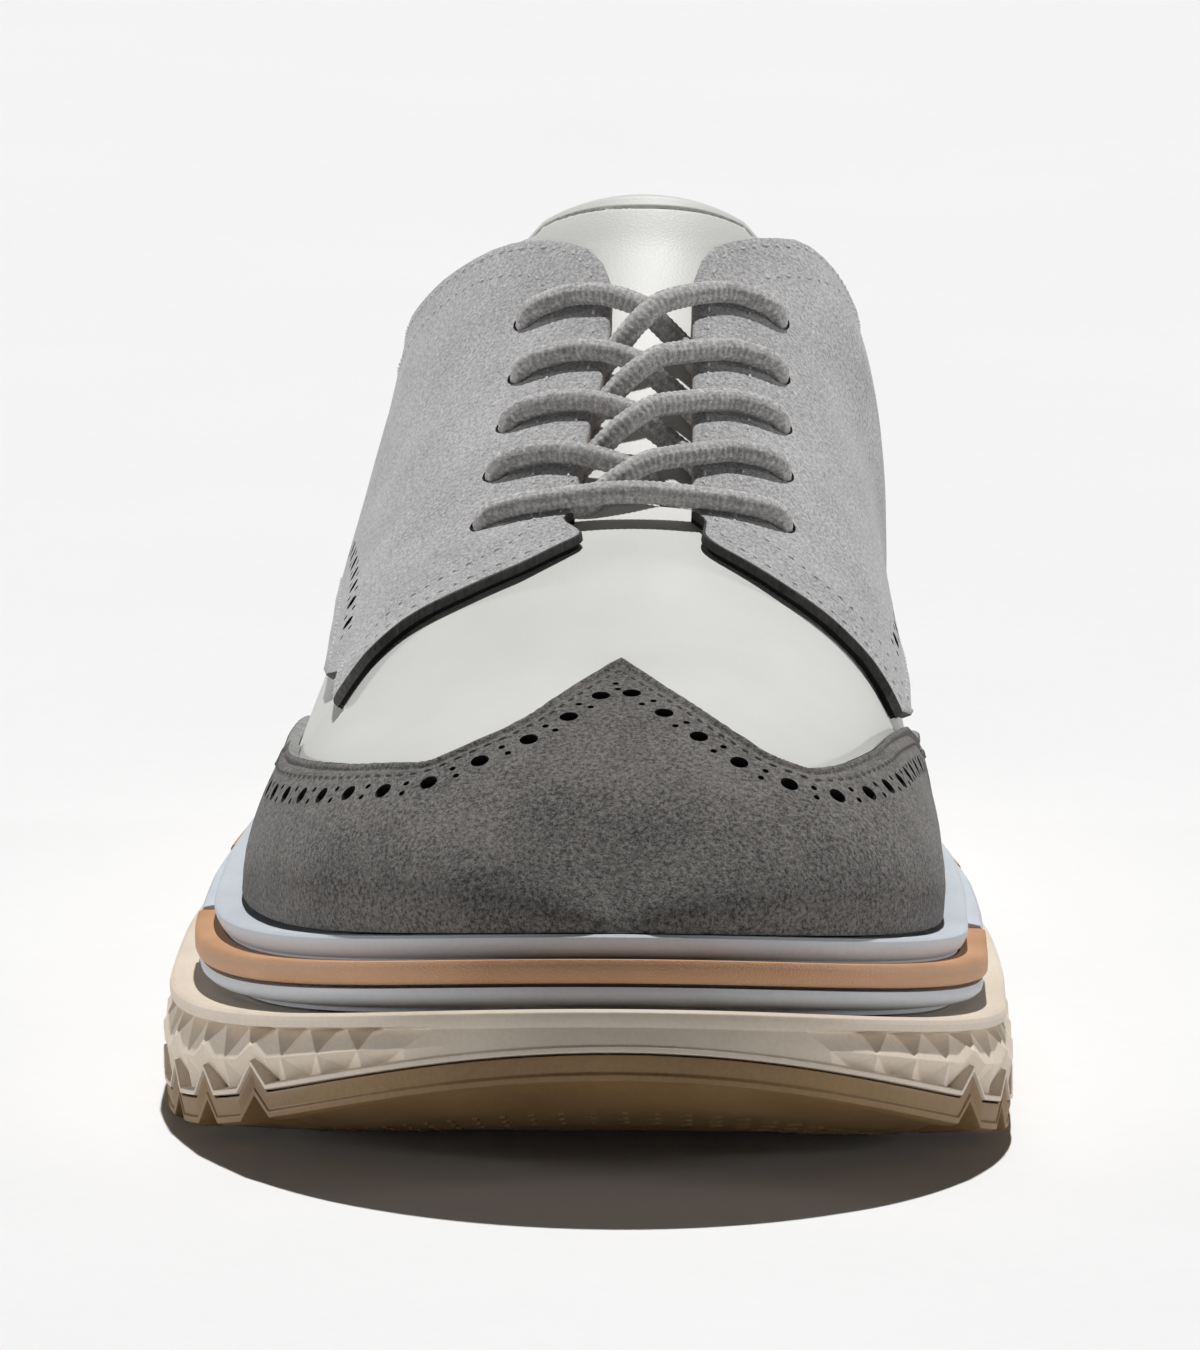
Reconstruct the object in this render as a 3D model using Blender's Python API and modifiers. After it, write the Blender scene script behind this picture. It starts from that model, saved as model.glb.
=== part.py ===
"""A right shoe with a winged toe cap and open lacing, on a layered sole. Sizes are in millimetres."""

from collections import namedtuple

import bmesh
import bpy
import numpy as np
from mathutils import Vector

MM = 0.001
LATERAL, MEDIAL = -1, 1

# The sole
SOLE_LENGTH = 308.0
TOE_AXIS, HEEL_AXIS = 6.2, 0.4  # sideways place of the toe tip and of the heel's middle
TOE_ROUND = {LATERAL: 80.0, MEDIAL: 58.0}  # how far back the rounding of the toe goes
HEEL_ROUND = 44.0
BALL_TOP = 17.9  # height of the cream ledge under the ball
TOE_LIFT, TOE_LIFT_END = 10.5, 78.0
HEEL_RISE, HEEL_RISE_FROM, HEEL_RISE_TO = 7.0, 120.0, 290.0
FOAM, FOAM_HEEL = 10.8, 4.0  # foam thickness at the ball, and what the heel adds
ROCKER, ROCKER_END = 18.3, 75.0
ARCH, ARCH_FROM, ARCH_TO = 4.5, 142.0, 220.0
HEEL_BEVEL, HEEL_BEVEL_FROM = 2.5, 289.0
GUM = 4.4
FOAM_MORE = {LATERAL: 0.0, MEDIAL: -0.9}  # how much further in the foam stands at the ball
SEAT = 0.3  # clearance between pieces that sit on each other

# The lugs of the edge, four stations to a lug
SIDE_STATIONS = 96
LUG_STATIONS = 4
NOTCH = 3.6
PLAIN_TOE, FULL_FACETS = 24.0, 42.0  # distance round the edge from the toe tip
PLAIN_EDGE, FULL_LUGS = 47.0, 56.0  # the same for the notches of the lower edge
FACET_IN = 1.8

# The tan strips: where each ends, as a station from the toe
FRONT_STRIP = {LATERAL: 86.0, MEDIAL: 76.0}
REAR_STRIP = {LATERAL: 135.0, MEDIAL: 125.0}

# The upper
FEATHER_INSET = 10.0
FEATHER_MORE = {LATERAL: 3.2, MEDIAL: 1.9}  # how much further in it stands at the ball
FEATHER_SEAT = 0.7  # clearance of the shell's foot over the foam
WALL = 1.6
OVERLAY, OVERLAY_GAP = 1.2, 0.5
OVERLAY_FACE = 2.2  # how far the face of a quarter stands off the shell beside the eyelets
OVERLAY_FOOT = 1.2  # how far an overlay stops above the shell's own foot
UPPER_STATIONS, UPPER_ROWS = 30, 8
THROAT_STATION, COLLAR_STATION = 98.0, 188.0
CREST_STATION = 161.0  # where the top line is highest
THROAT_ROWS = 6  # rows of the shell that stay beside the open throat
QUARTER_COLUMNS = [111, 121, 133, 145, 154, 160, 165, 170, 176, 184, 195]
QUARTER_FRONT_DEPTH = 40.0  # how far back the shape of the front edge is still felt
OVERLAY_HOLLOW = 0.5  # how much further an overlay's middle stands off the shell
EYELETS = 5
EYELET_FIRST, EYELET_LAST = 103.3, 148.3
EYELET_IN = 12.6  # from the facing's edge
EYELET_BACK = {LATERAL: 3.0, MEDIAL: 5.0}  # behind the strand's place at that edge
EYELET_RADIUS = 2.55
LACE_RADIUS = 1.5

Outline = namedtuple("Outline", "station lateral medial")
OUTLINE = [
    Outline(0, 63.9, 52.8),
    Outline(80, 63.9, 52.8),
    Outline(110, 63.3, 51.6),
    Outline(135, 61.4, 48.4),
    Outline(165, 56.8, 43.8),
    Outline(195, 51.0, 41.0),
    Outline(220, 47.4, 40.2),
    Outline(245, 45.8, 40.0),
    Outline(264, 45.2, 40.0),
    Outline(308, 44.6, 39.8),
]

# One row for each section of the last: its top line, and how the rib leaves the sole and arrives at the top
Rib = namedtuple(
    "Rib",
    "station top lateral medial low high lateral_lean medial_lean foot_pull rise top_pull",
)
RIBS = [
    Rib(10, 10, 5.6, 5.6, 37.1, 37.1, 14, 14, 0.40, 0, 0.42),
    Rib(20, 20, 5.2, 5.2, 50.2, 50.2, 14, 14, 0.40, 0, 0.42),
    Rib(36, 36, 4.8, 4.8, 58.6, 58.6, 11, 12, 0.40, 0, 0.42),
    Rib(62, 62, 4.6, 4.6, 65.2, 65.2, 5, 9, 0.38, 0, 0.42),
    Rib(80, 80, 4.8, 4.8, 70.4, 70.4, -1, 6, 0.36, 0, 0.42),
    Rib(93, 94, 5.4, 5.4, 75.1, 75.1, -6, 4, 0.34, 2, 0.42),
    Rib(101, 102, -3.4, 12.7, 76.1, 76.1, -8, 3, 0.33, 7, 0.41),
    Rib(120, 121, -1.8, 12.3, 85.0, 85.0, -11, 2, 0.32, 11, 0.40),
    Rib(142, 143, 0.4, 11.6, 96.0, 96.0, -11, 2, 0.32, 14, 0.38),
    Rib(151, 153, 0.4, 11.4, 101.6, 101.7, -11, 2, 0.32, 18, 0.37),
    Rib(158, 161, -2.8, 13.6, 105.6, 105.8, -11, 2, 0.32, 25, 0.355),
    Rib(164, 166, -7.4, 18.4, 106.2, 106.6, -10.5, 1.5, 0.32, 33, 0.345),
    Rib(170, 171, -12.8, 23.4, 105.3, 106.0, -10, 1, 0.32, 42, 0.33),
    Rib(184, 183, -23.2, 29.6, 98.7, 99.8, -7, 0, 0.32, 62, 0.31),
    Rib(202, 200, -28.6, 32.2, 91.0, 92.4, -3, 0, 0.32, 76, 0.30),
    Rib(228, 225, -30.2, 31.6, 84.6, 86.6, 2, 3, 0.32, 84, 0.30),
    Rib(264, 259, -27.0, 27.0, 86.0, 87.0, 7, 8, 0.33, 86, 0.30),
    Rib(287, 282, -17.6, 17.2, 90.6, 91.0, 10, 10, 0.33, 86, 0.30),
    Rib(295, 288.7, -9.2, 9.4, 92.4, 92.5, 11, 11, 0.33, 86, 0.30),
    Rib(298, 291, 0.5, 0.5, 93.0, 93.0, 12, 12, 0.33, 86, 0.30),
]

# The edges of the overlays: the share of a rib's height, and the station where the edge crosses it
Edge = namedtuple("Edge", "share station")
WING_EDGE = {
    LATERAL: [
        Edge(0.00, 186),
        Edge(0.09, 163),
        Edge(0.18, 132),
        Edge(0.25, 102),
        Edge(0.32, 70),
        Edge(0.45, 44),
        Edge(0.58, 36),
        Edge(0.72, 37.5),
        Edge(0.80, 40),
        Edge(0.88, 45.6),
        Edge(1.00, 57.2),
    ],
    MEDIAL: [
        Edge(0.00, 176),
        Edge(0.105, 154),
        Edge(0.215, 126),
        Edge(0.31, 98),
        Edge(0.34, 90),
        Edge(0.41, 70),
        Edge(0.455, 52),
        Edge(0.495, 41),
        Edge(0.55, 36.2),
        Edge(0.62, 35.6),
        Edge(0.72, 38),
        Edge(0.88, 46.6),
        Edge(1.00, 57.2),
    ],
}
QUARTER_FRONT = {
    LATERAL: [
        Edge(0.434, 76),
        Edge(0.47, 81),
        Edge(0.517, 85.5),
        Edge(0.60, 87.5),
        Edge(0.70, 87),
        Edge(0.80, 88),
        Edge(0.88, 91.3),
        Edge(0.95, 96.8),
        Edge(1.00, 102),
    ],
    MEDIAL: [
        Edge(0.36, 92),
        Edge(0.42, 94),
        Edge(0.47, 94.2),
        Edge(0.56, 92.5),
        Edge(0.70, 90.8),
        Edge(0.80, 92),
        Edge(0.89, 95),
        Edge(0.95, 98.4),
        Edge(1.00, 102.6),
    ],
}
QUARTER_BASE = {
    LATERAL: [
        Edge(0.00, 222),
        Edge(0.10, 207),
        Edge(0.23, 178),
        Edge(0.34, 145),
        Edge(0.409, 112),
        Edge(0.434, 76),
    ],
    MEDIAL: [
        Edge(0.00, 214),
        Edge(0.10, 199),
        Edge(0.21, 172),
        Edge(0.30, 138),
        Edge(0.345, 110),
        Edge(0.36, 92),
    ],
}


Tongue = namedtuple("Tongue", "station height half_width")
TONGUE = [
    Tongue(92, 71.2, 20.0),
    Tongue(104, 74.8, 21.0),
    Tongue(121, 82.0, 21.5),
    Tongue(143, 92.8, 21.0),
    Tongue(158, 101.2, 21.0),
    Tongue(166, 106.2, 21.5),
    Tongue(172, 111.2, 19.8),
    Tongue(175, 113.6, 14.5),
]
TONGUE_MIDDLE = 4.0
TONGUE_ARCH = 27.0
TONGUE_THICK = 3.2


def through(keys, values):
    """A smooth curve through the rows of a table that never overshoots them."""
    keys = np.asarray(keys, float)
    values = np.asarray(values, float)
    width = np.diff(keys)
    slope = np.diff(values) / width
    before, after = slope[:-1], slope[1:]
    turning = before * after <= 0
    joint = np.where(turning, 1.0, before + after)
    middle = np.where(turning, 0.0, 2 * before * after / joint)
    tangent = np.concatenate([slope[:1], middle, slope[-1:]])

    def at(key):
        key = np.clip(key, keys[0], keys[-1])
        i = np.clip(np.searchsorted(keys, key, side="right") - 1, 0, len(width) - 1)
        t = (key - keys[i]) / width[i]
        rest = 1 - t
        start = values[i] * (1 + 2 * t) + tangent[i] * width[i] * t
        end = values[i + 1] * (1 + 2 * rest) - tangent[i + 1] * width[i] * rest
        return rest * rest * start + t * t * end

    return at


def ease(value, first, last):
    """0 before first, 1 after last, smooth between them."""
    t = np.clip((value - first) / (last - first), 0, 1)
    return t * t * (3 - 2 * t)


REACH = {
    LATERAL: through([row.station for row in OUTLINE], [row.lateral for row in OUTLINE]),
    MEDIAL: through([row.station for row in OUTLINE], [row.medial for row in OUTLINE]),
}


def station_of(along):
    """Distance from the toe tip for a share of the way round one side."""
    return SOLE_LENGTH * (1 - np.cos(np.pi * along)) / 2


def along_of(station):
    share = np.clip(np.asarray(station, float) / SOLE_LENGTH, 0, 1)
    return np.arccos(1 - 2 * share) / np.pi


def outline_of(side, along):
    """The sole's widest outline, lateral or medial, as sideways place and station. It runs on past either end."""
    side = np.asarray(side) * np.ones_like(along)
    side = np.where((along < 0) | (along > 1), -side, side)
    along = np.abs(along)
    along = np.where(along > 1, 2 - along, along)
    station = station_of(along)
    toe = np.where(side < 0, TOE_ROUND[LATERAL], TOE_ROUND[MEDIAL])
    front = np.clip(1 - station / toe, 0, 1)
    back = np.clip((station - SOLE_LENGTH + HEEL_ROUND) / HEEL_ROUND, 0, 1)
    reach = np.where(side < 0, REACH[LATERAL](station), REACH[MEDIAL](station))
    reach = reach * np.sqrt((1 - front**2) * (1 - back**2))
    axis = TOE_AXIS + (HEEL_AXIS - TOE_AXIS) * station / SOLE_LENGTH
    return axis + side * reach, station


def at_ball(side, station, more):
    """A change of inset that is whole beside the ball and gone at the toe tip and the waist."""
    share = ease(station, 4, 55) * (1 - ease(station, 120, 200))
    return np.where(np.asarray(side) < 0, more[LATERAL], more[MEDIAL]) * share


def inset_of(side, along, inset):
    """A point of the outline moved inwards, square to it."""
    step = 2e-3
    x0, d0 = outline_of(side, along - step)
    x1, d1 = outline_of(side, along + step)
    x, d = outline_of(side, along)
    length = np.hypot(x1 - x0, d1 - d0)
    out_x = side * (d1 - d0) / length
    out_d = -side * (x1 - x0) / length
    return x - inset * out_x, d - inset * out_d, out_x, out_d


def ledge_height(d):
    """Top of the cream frame."""
    toe = np.clip(1 - d / TOE_LIFT_END, 0, 1) ** 2
    return BALL_TOP + TOE_LIFT * toe + HEEL_RISE * ease(d, HEEL_RISE_FROM, HEEL_RISE_TO)


def foam_at(d):
    return FOAM + FOAM_HEEL * ease(d, HEEL_RISE_FROM, HEEL_RISE_TO)


def ground_height(d):
    """Underside of the gum sole: toe rocker, arch and heel bevel."""
    toe = ROCKER * np.clip(1 - d / ROCKER_END, 0, 1) ** 2
    middle = (ARCH_FROM + ARCH_TO) / 2
    arch = ARCH * ease(d, ARCH_FROM, middle) * (1 - ease(d, middle, ARCH_TO))
    heel = np.clip((d - HEEL_BEVEL_FROM) / (SOLE_LENGTH - HEEL_BEVEL_FROM), 0, 1)
    return toe + arch + HEEL_BEVEL * heel**2


def rib_along(station):
    """Share of the way round a side at which the rib stands on this station."""
    inner = SOLE_LENGTH - 2 * FEATHER_INSET
    return along_of((np.asarray(station, float) - FEATHER_INSET) * SOLE_LENGTH / inner)


RIB_KEYS = rib_along([row.station for row in RIBS])
RIB = {name: through(RIB_KEYS, [getattr(row, name) for row in RIBS]) for name in Rib._fields}


def upper_point(side, along, up):
    """The outer face of the lasted shell: up runs from the sole at 0 to the top line at 1."""
    along = np.asarray(along, float)
    inset = FEATHER_INSET + at_ball(side, station_of(along), FEATHER_MORE)
    x, d, out_x, out_d = inset_of(side, along, inset)
    foot = np.stack([x, d, ledge_height(d) + foam_at(d) + FEATHER_SEAT], -1)
    top_x = np.where(np.asarray(side) < 0, RIB["lateral"](along), RIB["medial"](along))
    top_z = np.where(np.asarray(side) < 0, RIB["low"](along), RIB["high"](along))
    top = np.stack([top_x, RIB["top"](along), top_z], -1)
    chord = np.linalg.norm(top - foot, axis=-1)
    lean = np.where(np.asarray(side) < 0, RIB["lateral_lean"](along), RIB["medial_lean"](along))
    lean = np.radians(lean)
    leave = np.stack([out_x * np.sin(lean), out_d * np.sin(lean), np.cos(lean)], -1)
    inward = (top - foot)[..., :2]
    inward = inward / np.maximum(np.linalg.norm(inward, axis=-1), 1e-6)[..., None]
    rise = np.radians(RIB["rise"](along))
    arrive = np.concatenate([inward * np.cos(rise)[..., None], np.sin(rise)[..., None]], -1)
    second = foot + leave * (RIB["foot_pull"](along) * chord)[..., None]
    third = top - arrive * (RIB["top_pull"](along) * chord)[..., None]
    t = np.asarray(up, float)[..., None]
    rest = 1 - t
    return rest**3 * foot + 3 * rest**2 * t * second + 3 * rest * t**2 * third + t**3 * top


def upper_offset(side, along, up, lift):
    """The shell's outer face moved out by lift, square to it."""
    step = 4e-3
    low = np.clip(np.asarray(up, float), step, 1 - step)
    near = np.clip(np.asarray(along, float), 2 * step, 1 - 2 * step)
    across = upper_point(side, near, low + step) - upper_point(side, near, low - step)
    onward = upper_point(side, near + step, low) - upper_point(side, near - step, low)
    square = side * np.cross(onward, across)
    square = square / np.linalg.norm(square, axis=-1)[..., None]
    return upper_point(side, along, up) + square * lift


def middle_x():
    """Half-way between the widest places of the two sides."""
    along = np.linspace(0, 1, 2001)
    return (outline_of(LATERAL, along)[0].min() + outline_of(MEDIAL, along)[0].max()) / 2


MIDDLE_X = middle_x()


def to_frame(points):
    """From sideways place, station and height to the part's own frame, in metres."""
    points = np.asarray(points, float)
    return (points - np.array([MIDDLE_X, SOLE_LENGTH / 2, 0])) * MM


def clear_scene():
    for obj in list(bpy.data.objects):
        bpy.data.objects.remove(obj, do_unlink=True)


def new_collection(name):
    collection = bpy.data.collections.new(name)
    bpy.context.scene.collection.children.link(collection)
    return collection


def material(name, color, roughness):
    made = bpy.data.materials.new(name)
    made.use_nodes = True
    shader = made.node_tree.nodes["Principled BSDF"]
    shader.inputs["Base Color"].default_value = (*color, 1)
    shader.inputs["Roughness"].default_value = roughness
    return made


def finish_mesh(name, mesh, made_of, collection):
    obj = bpy.data.objects.new(name, mesh)
    obj.data.materials.append(made_of)
    collection.objects.link(obj)
    return obj


def mesh_of(name, points, faces, weld=0.02):
    """A mesh from points in the shoe's sizes, welded where they meet."""
    mesh = bpy.data.meshes.new(name)
    mesh.from_pydata([tuple(p) for p in to_frame(points)], [], faces)
    sheet = bmesh.new()
    sheet.from_mesh(mesh)
    bmesh.ops.remove_doubles(sheet, verts=sheet.verts, dist=weld * MM)
    bmesh.ops.dissolve_degenerate(sheet, edges=sheet.edges, dist=weld * MM / 10)
    sheet.to_mesh(mesh)
    sheet.free()
    return mesh


def recalc(mesh):
    """Faces turned outwards on a closed mesh."""
    solid = bmesh.new()
    solid.from_mesh(mesh)
    bmesh.ops.recalc_face_normals(solid, faces=solid.faces)
    solid.to_mesh(mesh)
    solid.free()


class Ring:
    """Points round the sole's edge: down the lateral side from toe to heel and back up the medial side."""

    def __init__(self, lateral, medial):
        self.count = len(lateral) - 1
        self.along = np.concatenate([lateral, medial[-2:0:-1]])
        self.side = np.where(np.arange(len(self.along)) <= self.count, LATERAL, MEDIAL)
        index = np.arange(len(self.along))
        self.step = np.where(index <= self.count, index, 2 * self.count - index)
        self.from_toe = np.where(
            self.side < 0, arc_length(LATERAL, self.along), arc_length(MEDIAL, self.along)
        )

    def points(self, inset, height, more=None):
        if more:
            inset = inset + at_ball(self.side, station_of(self.along), more)
        x, d, _, _ = inset_of(self.side, self.along, inset)
        return np.stack([x, d, height(d)], -1)

    def across(self, i):
        """The point opposite point i of the lateral side."""
        return (2 * self.count - i) % len(self.along)


def arc_length(side, along):
    fine = np.linspace(0, 1, 2001)
    x, d = outline_of(side, fine)
    length = np.concatenate([[0], np.cumsum(np.hypot(np.diff(x), np.diff(d)))])
    return np.interp(along, fine, length)


def even_stations(side, count):
    fine = np.linspace(0, 1, 2001)
    length = arc_length(side, fine)
    return np.interp(np.linspace(0, length[-1], count + 1), length, fine)


def even_ring(count):
    return Ring(even_stations(LATERAL, count), even_stations(MEDIAL, count))


def lid(ring, base, turned):
    """Faces across the sole between facing points of one loop."""
    faces = []
    for i in range(ring.count):
        a, b = base + i, base + i + 1
        c, d = base + ring.across(i + 1), base + ring.across(i)
        for corners in ([a, b, c], [a, c, d]):
            if len(set(corners)) == 3:
                faces.append(corners[::-1] if turned else corners)
    return faces


def layered(name, ring, loops, made_of, collection, diagonal=None):
    """A solid from loops stacked from its top middle round the edge to its bottom middle."""
    count = len(ring.along)
    faces = lid(ring, 0, False)
    for level in range(len(loops) - 1):
        upper, lower = level * count, (level + 1) * count
        for i in range(count):
            j = (i + 1) % count
            quad = [upper + i, lower + i, lower + j, upper + j]
            faces += diagonal(level, ring, i, quad) if diagonal else [quad]
    faces += lid(ring, (len(loops) - 1) * count, True)
    mesh = mesh_of(name, np.concatenate(loops), faces)
    recalc(mesh)
    return finish_mesh(name, mesh, made_of, collection)


def split_down(quad):
    top_a, low_a, low_b, top_b = quad
    return [[top_a, low_a, low_b], [top_a, low_b, top_b]]


def split_up(quad):
    top_a, low_a, low_b, top_b = quad
    return [[top_a, low_a, top_b], [low_a, low_b, top_b]]


def lug_lift(ring):
    """How far the toothed lower edge is notched at each point of the edge."""
    full = ease(ring.from_toe, PLAIN_EDGE, FULL_LUGS)
    return np.where(ring.step % LUG_STATIONS == 0, NOTCH, 0.0) * full


def frame_facets(level, ring, i, quad):
    """Cuts the quads of the faceted side so that their diagonals cross in pairs."""
    if level == 3:
        return split_down(quad)
    if level not in (1, 2):
        return [quad]
    crossing_first = ring.step[i] % 2 == 0
    return split_up(quad) if (level == 1) == crossing_first else split_down(quad)


def seat_facets(level, ring, i, quad):
    """Cuts the toothed seat of the frame along the same lines as the frame's own foot."""
    return split_up(quad) if level == 0 else [quad]


def facet_depth(ring):
    return FACET_IN * ease(ring.from_toe, PLAIN_TOE, FULL_FACETS)


def frame_foot(ring, down):
    """The frame's toothed lower edge and the flat inside it, lowered by down."""
    lift = lug_lift(ring)
    edge_inset = 0.4 * facet_depth(ring) * (lift > 0)
    edge = ring.points(edge_inset, lambda d: ground_height(d) + GUM + lift - down)
    flat = ring.points(11.0, lambda d: ground_height(d) + GUM - down)
    return edge, flat


def make_outsole(ring, made_of, collection):
    lift = lug_lift(ring)
    edge, flat = frame_foot(ring, SEAT)
    loops = [
        flat,
        edge,
        ring.points(2.0, lambda d: ground_height(d) + 0.9 * lift),
        ring.points(10.0, ground_height),
    ]
    return layered("outsole", ring, loops, made_of, collection, seat_facets)


def make_sidewall(ring, made_of, collection):
    depth = facet_depth(ring)
    crossing = np.where(ring.step % 2 == 0, 1.0, 0.0)
    edge, flat = frame_foot(ring, 0.0)
    high = ledge_height(ring.points(0.0, ledge_height)[:, 1]) - 2.2
    low = edge[:, 2]
    loops = [
        ring.points(1.4, ledge_height),
        ring.points(1.0 + 0.7 * depth * crossing, lambda d: high),
        ring.points(0.5 + depth * crossing - 0.2 * depth, lambda d: (high + low) / 2),
        edge,
        flat,
    ]
    return layered("sidewall", ring, loops, made_of, collection, frame_facets)


def strip_ends(side, ends, margin):
    """Share of the way round at which a strip's seat starts or stops, this far past the strip's end."""
    fine = np.linspace(0, 1, 4001)
    length = arc_length(side, fine)
    place = np.interp(along_of(ends[side]), fine, length)
    return np.interp(place + margin, length, fine)


def foam_stations(side):
    marks = np.concatenate(
        [
            strip_ends(side, FRONT_STRIP, np.array([SEAT, 2 * SEAT])),
            strip_ends(side, REAR_STRIP, np.array([-2 * SEAT, -SEAT])),
        ]
    )
    plain = even_stations(side, 24)
    near = np.abs(plain[:, None] - marks[None]).min(axis=1) < 0.008
    return np.sort(np.concatenate([plain[~near], marks]))


def make_midsole(made_of, collection):
    stations = {side: foam_stations(side) for side in (LATERAL, MEDIAL)}
    most = min(len(stations[LATERAL]), len(stations[MEDIAL]))
    if len(stations[LATERAL]) != len(stations[MEDIAL]):
        for side in stations:
            while len(stations[side]) > most:
                widths = np.diff(stations[side])
                stations[side] = np.delete(stations[side], 2 + np.argmin(widths[2:8]))
    ring = Ring(stations[LATERAL], stations[MEDIAL])
    grooved = np.zeros(len(ring.along))
    for side in (LATERAL, MEDIAL):
        front = strip_ends(side, FRONT_STRIP, 1.5 * SEAT)
        rear = strip_ends(side, REAR_STRIP, -1.5 * SEAT)
        inside = (ring.along < front) | (ring.along > rear)
        grooved = np.where((ring.side == side) & inside, 1.0, grooved)

    def level(share):
        return lambda d: ledge_height(d) + SEAT + share * (foam_at(d) - SEAT)

    loops = [
        ring.points(8.0, level(1.0), FOAM_MORE),
        ring.points(7.4, level(0.95), FOAM_MORE),
        ring.points(7.2, level(0.72), FOAM_MORE),
        ring.points(5.2 + 3.4 * grooved, level(0.69), FOAM_MORE),
        ring.points(4.9 + 3.7 * grooved, level(0.32), FOAM_MORE),
        ring.points(5.4, level(0.31), FOAM_MORE),
        ring.points(5.8, level(0.10), FOAM_MORE),
        ring.points(7.6, level(0.0), FOAM_MORE),
    ]
    return layered("midsole", ring, loops, made_of, collection)


def make_strip(name, lateral, medial, made_of, collection):
    """A tan strip in its seat, swept along the stations of the two sides, which follow each other."""
    side = np.concatenate([np.full(len(lateral), LATERAL), np.full(len(medial), MEDIAL)])
    along = np.concatenate([lateral, medial])
    profile = [(8.3, 0.345), (4.7, 0.36), (4.7, 0.65), (8.3, 0.665)]
    loops = []
    for inset, share in profile:
        x, d, _, _ = inset_of(side, along, inset + at_ball(side, station_of(along), FOAM_MORE))
        z = ledge_height(d) + SEAT + share * (foam_at(d) - SEAT)
        loops.append(np.stack([x, d, z], -1))
    points = np.stack(loops, 1).reshape(-1, 3)
    size = len(profile)
    faces = []
    for i in range(len(along) - 1):
        for k in range(size):
            a, b = i * size + k, i * size + (k + 1) % size
            faces.append([a, b, b + size, a + size])
    last = (len(along) - 1) * size
    faces.append(list(range(size))[::-1])
    faces.append([last + k for k in range(size)])
    mesh = mesh_of(name, points, faces)
    recalc(mesh)
    return finish_mesh(name, mesh, made_of, collection)


def front_strip(made_of, collection):
    ends = {side: strip_ends(side, FRONT_STRIP, 0.0) for side in (LATERAL, MEDIAL)}
    lateral = np.linspace(ends[LATERAL], 0, 13)
    medial = np.linspace(0, ends[MEDIAL], 12)[1:]
    return make_strip("welt_front", lateral, medial, made_of, collection)


def rear_strip(made_of, collection):
    ends = {side: strip_ends(side, REAR_STRIP, 0.0) for side in (LATERAL, MEDIAL)}
    lateral = np.linspace(ends[LATERAL], 1, 16)
    medial = np.linspace(1, ends[MEDIAL], 16)[1:]
    return make_strip("welt_rear", lateral, medial, made_of, collection)


def make_insole(made_of, collection):
    ring = even_ring(24)
    inset = FEATHER_INSET + WALL + 1.6
    thick = 3.0

    def bed(height):
        return lambda d: ledge_height(d) + foam_at(d) + height

    loops = [
        ring.points(inset + 1.0, bed(SEAT + thick), FEATHER_MORE),
        ring.points(inset, bed(SEAT + thick - 0.8), FEATHER_MORE),
        ring.points(inset, bed(SEAT), FEATHER_MORE),
    ]
    return layered("insole", ring, loops, made_of, collection)


def shell(obj, thickness, offset=-1):
    """Gives an open sheet its thickness, inwards from the face it shows or outwards from its seat."""
    wall = obj.modifiers.new("wall", "SOLIDIFY")
    wall.thickness = thickness * MM
    wall.offset = offset
    wall.use_even_offset = True
    wall.use_rim = True
    return obj


def sheet_faces(points, keep=None, cut=True):
    """Faces over a grid of points, each cell cut along its shorter diagonal where that is asked for."""
    rows, columns = points.shape[:2]
    faces = []
    for i in range(rows - 1):
        for j in range(columns - 1):
            if keep is not None and not keep(i, j):
                continue
            a = i * columns + j
            b, c, d = a + 1, a + columns + 1, a + columns
            if not cut:
                faces.append([a, b, c, d])
                continue
            one = np.linalg.norm(points[i, j] - points[i + 1, j + 1])
            other = np.linalg.norm(points[i, j + 1] - points[i + 1, j])
            faces += [[a, b, c], [a, c, d]] if one <= other else [[a, b, d], [b, c, d]]
    return faces


def outward_sheet(name, points, faces, made_of, collection):
    """An open sheet whose faces look away from the foot."""
    mesh = mesh_of(name, points, faces, weld=0.05)
    recalc(mesh)
    centre = to_frame([MIDDLE_X, SOLE_LENGTH / 2, 45.0])
    looks = sum((f.center - Vector(centre)).dot(f.normal) * f.area for f in mesh.polygons)
    if looks < 0:
        mesh.flip_normals()
    return finish_mesh(name, mesh, made_of, collection)


def shell_stations():
    """Shares of the way round at which the shell has a rib, with one at each end of the open throat."""
    along = np.linspace(0, 1, UPPER_STATIONS + 1)
    placed = []
    for station in (THROAT_STATION, COLLAR_STATION, CREST_STATION):
        placed.append(np.argmin(np.abs(along - rib_along(station))))
        along[placed[-1]] = rib_along(station)
    return along, placed[0], placed[1]


def make_upper(made_of, collection):
    along, throat, collar = shell_stations()
    up = np.linspace(0, 1, UPPER_ROWS + 1)
    sides = []
    for side in (LATERAL, MEDIAL):
        grid_along, grid_up = np.meshgrid(along, up, indexing="ij")
        points = upper_point(side, grid_along, grid_up)
        before = np.arange(len(along)) <= throat
        if side == MEDIAL:
            points[before, -1] = sides[0][before, -1]
        sides.append(points)
    size = len(along) * len(up)

    def closed_there(i, j):
        return j < THROAT_ROWS or not throat <= i < collar

    faces = sheet_faces(sides[0], closed_there, cut=False)
    faces += [[size + c for c in face[::-1]] for face in faces]
    obj = outward_sheet("upper", np.concatenate(sides).reshape(-1, 3), faces, made_of, collection)
    return shell(obj, WALL)


def overlay_seat(side, along, up, inner):
    """The face of an overlay that lies on the shell. Inner is 0 along its edges and 1 well inside them."""
    points = upper_offset(side, along, up, (OVERLAY_GAP + OVERLAY_HOLLOW * inner)[..., None])
    points[..., 2] += OVERLAY_FOOT * (1 - up) ** 6
    return points


def edge_curve(rows):
    """An overlay's edge, as a share of the way round for a share of the rib's height."""
    return through([row.share for row in rows], rib_along([row.station for row in rows]))


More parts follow.
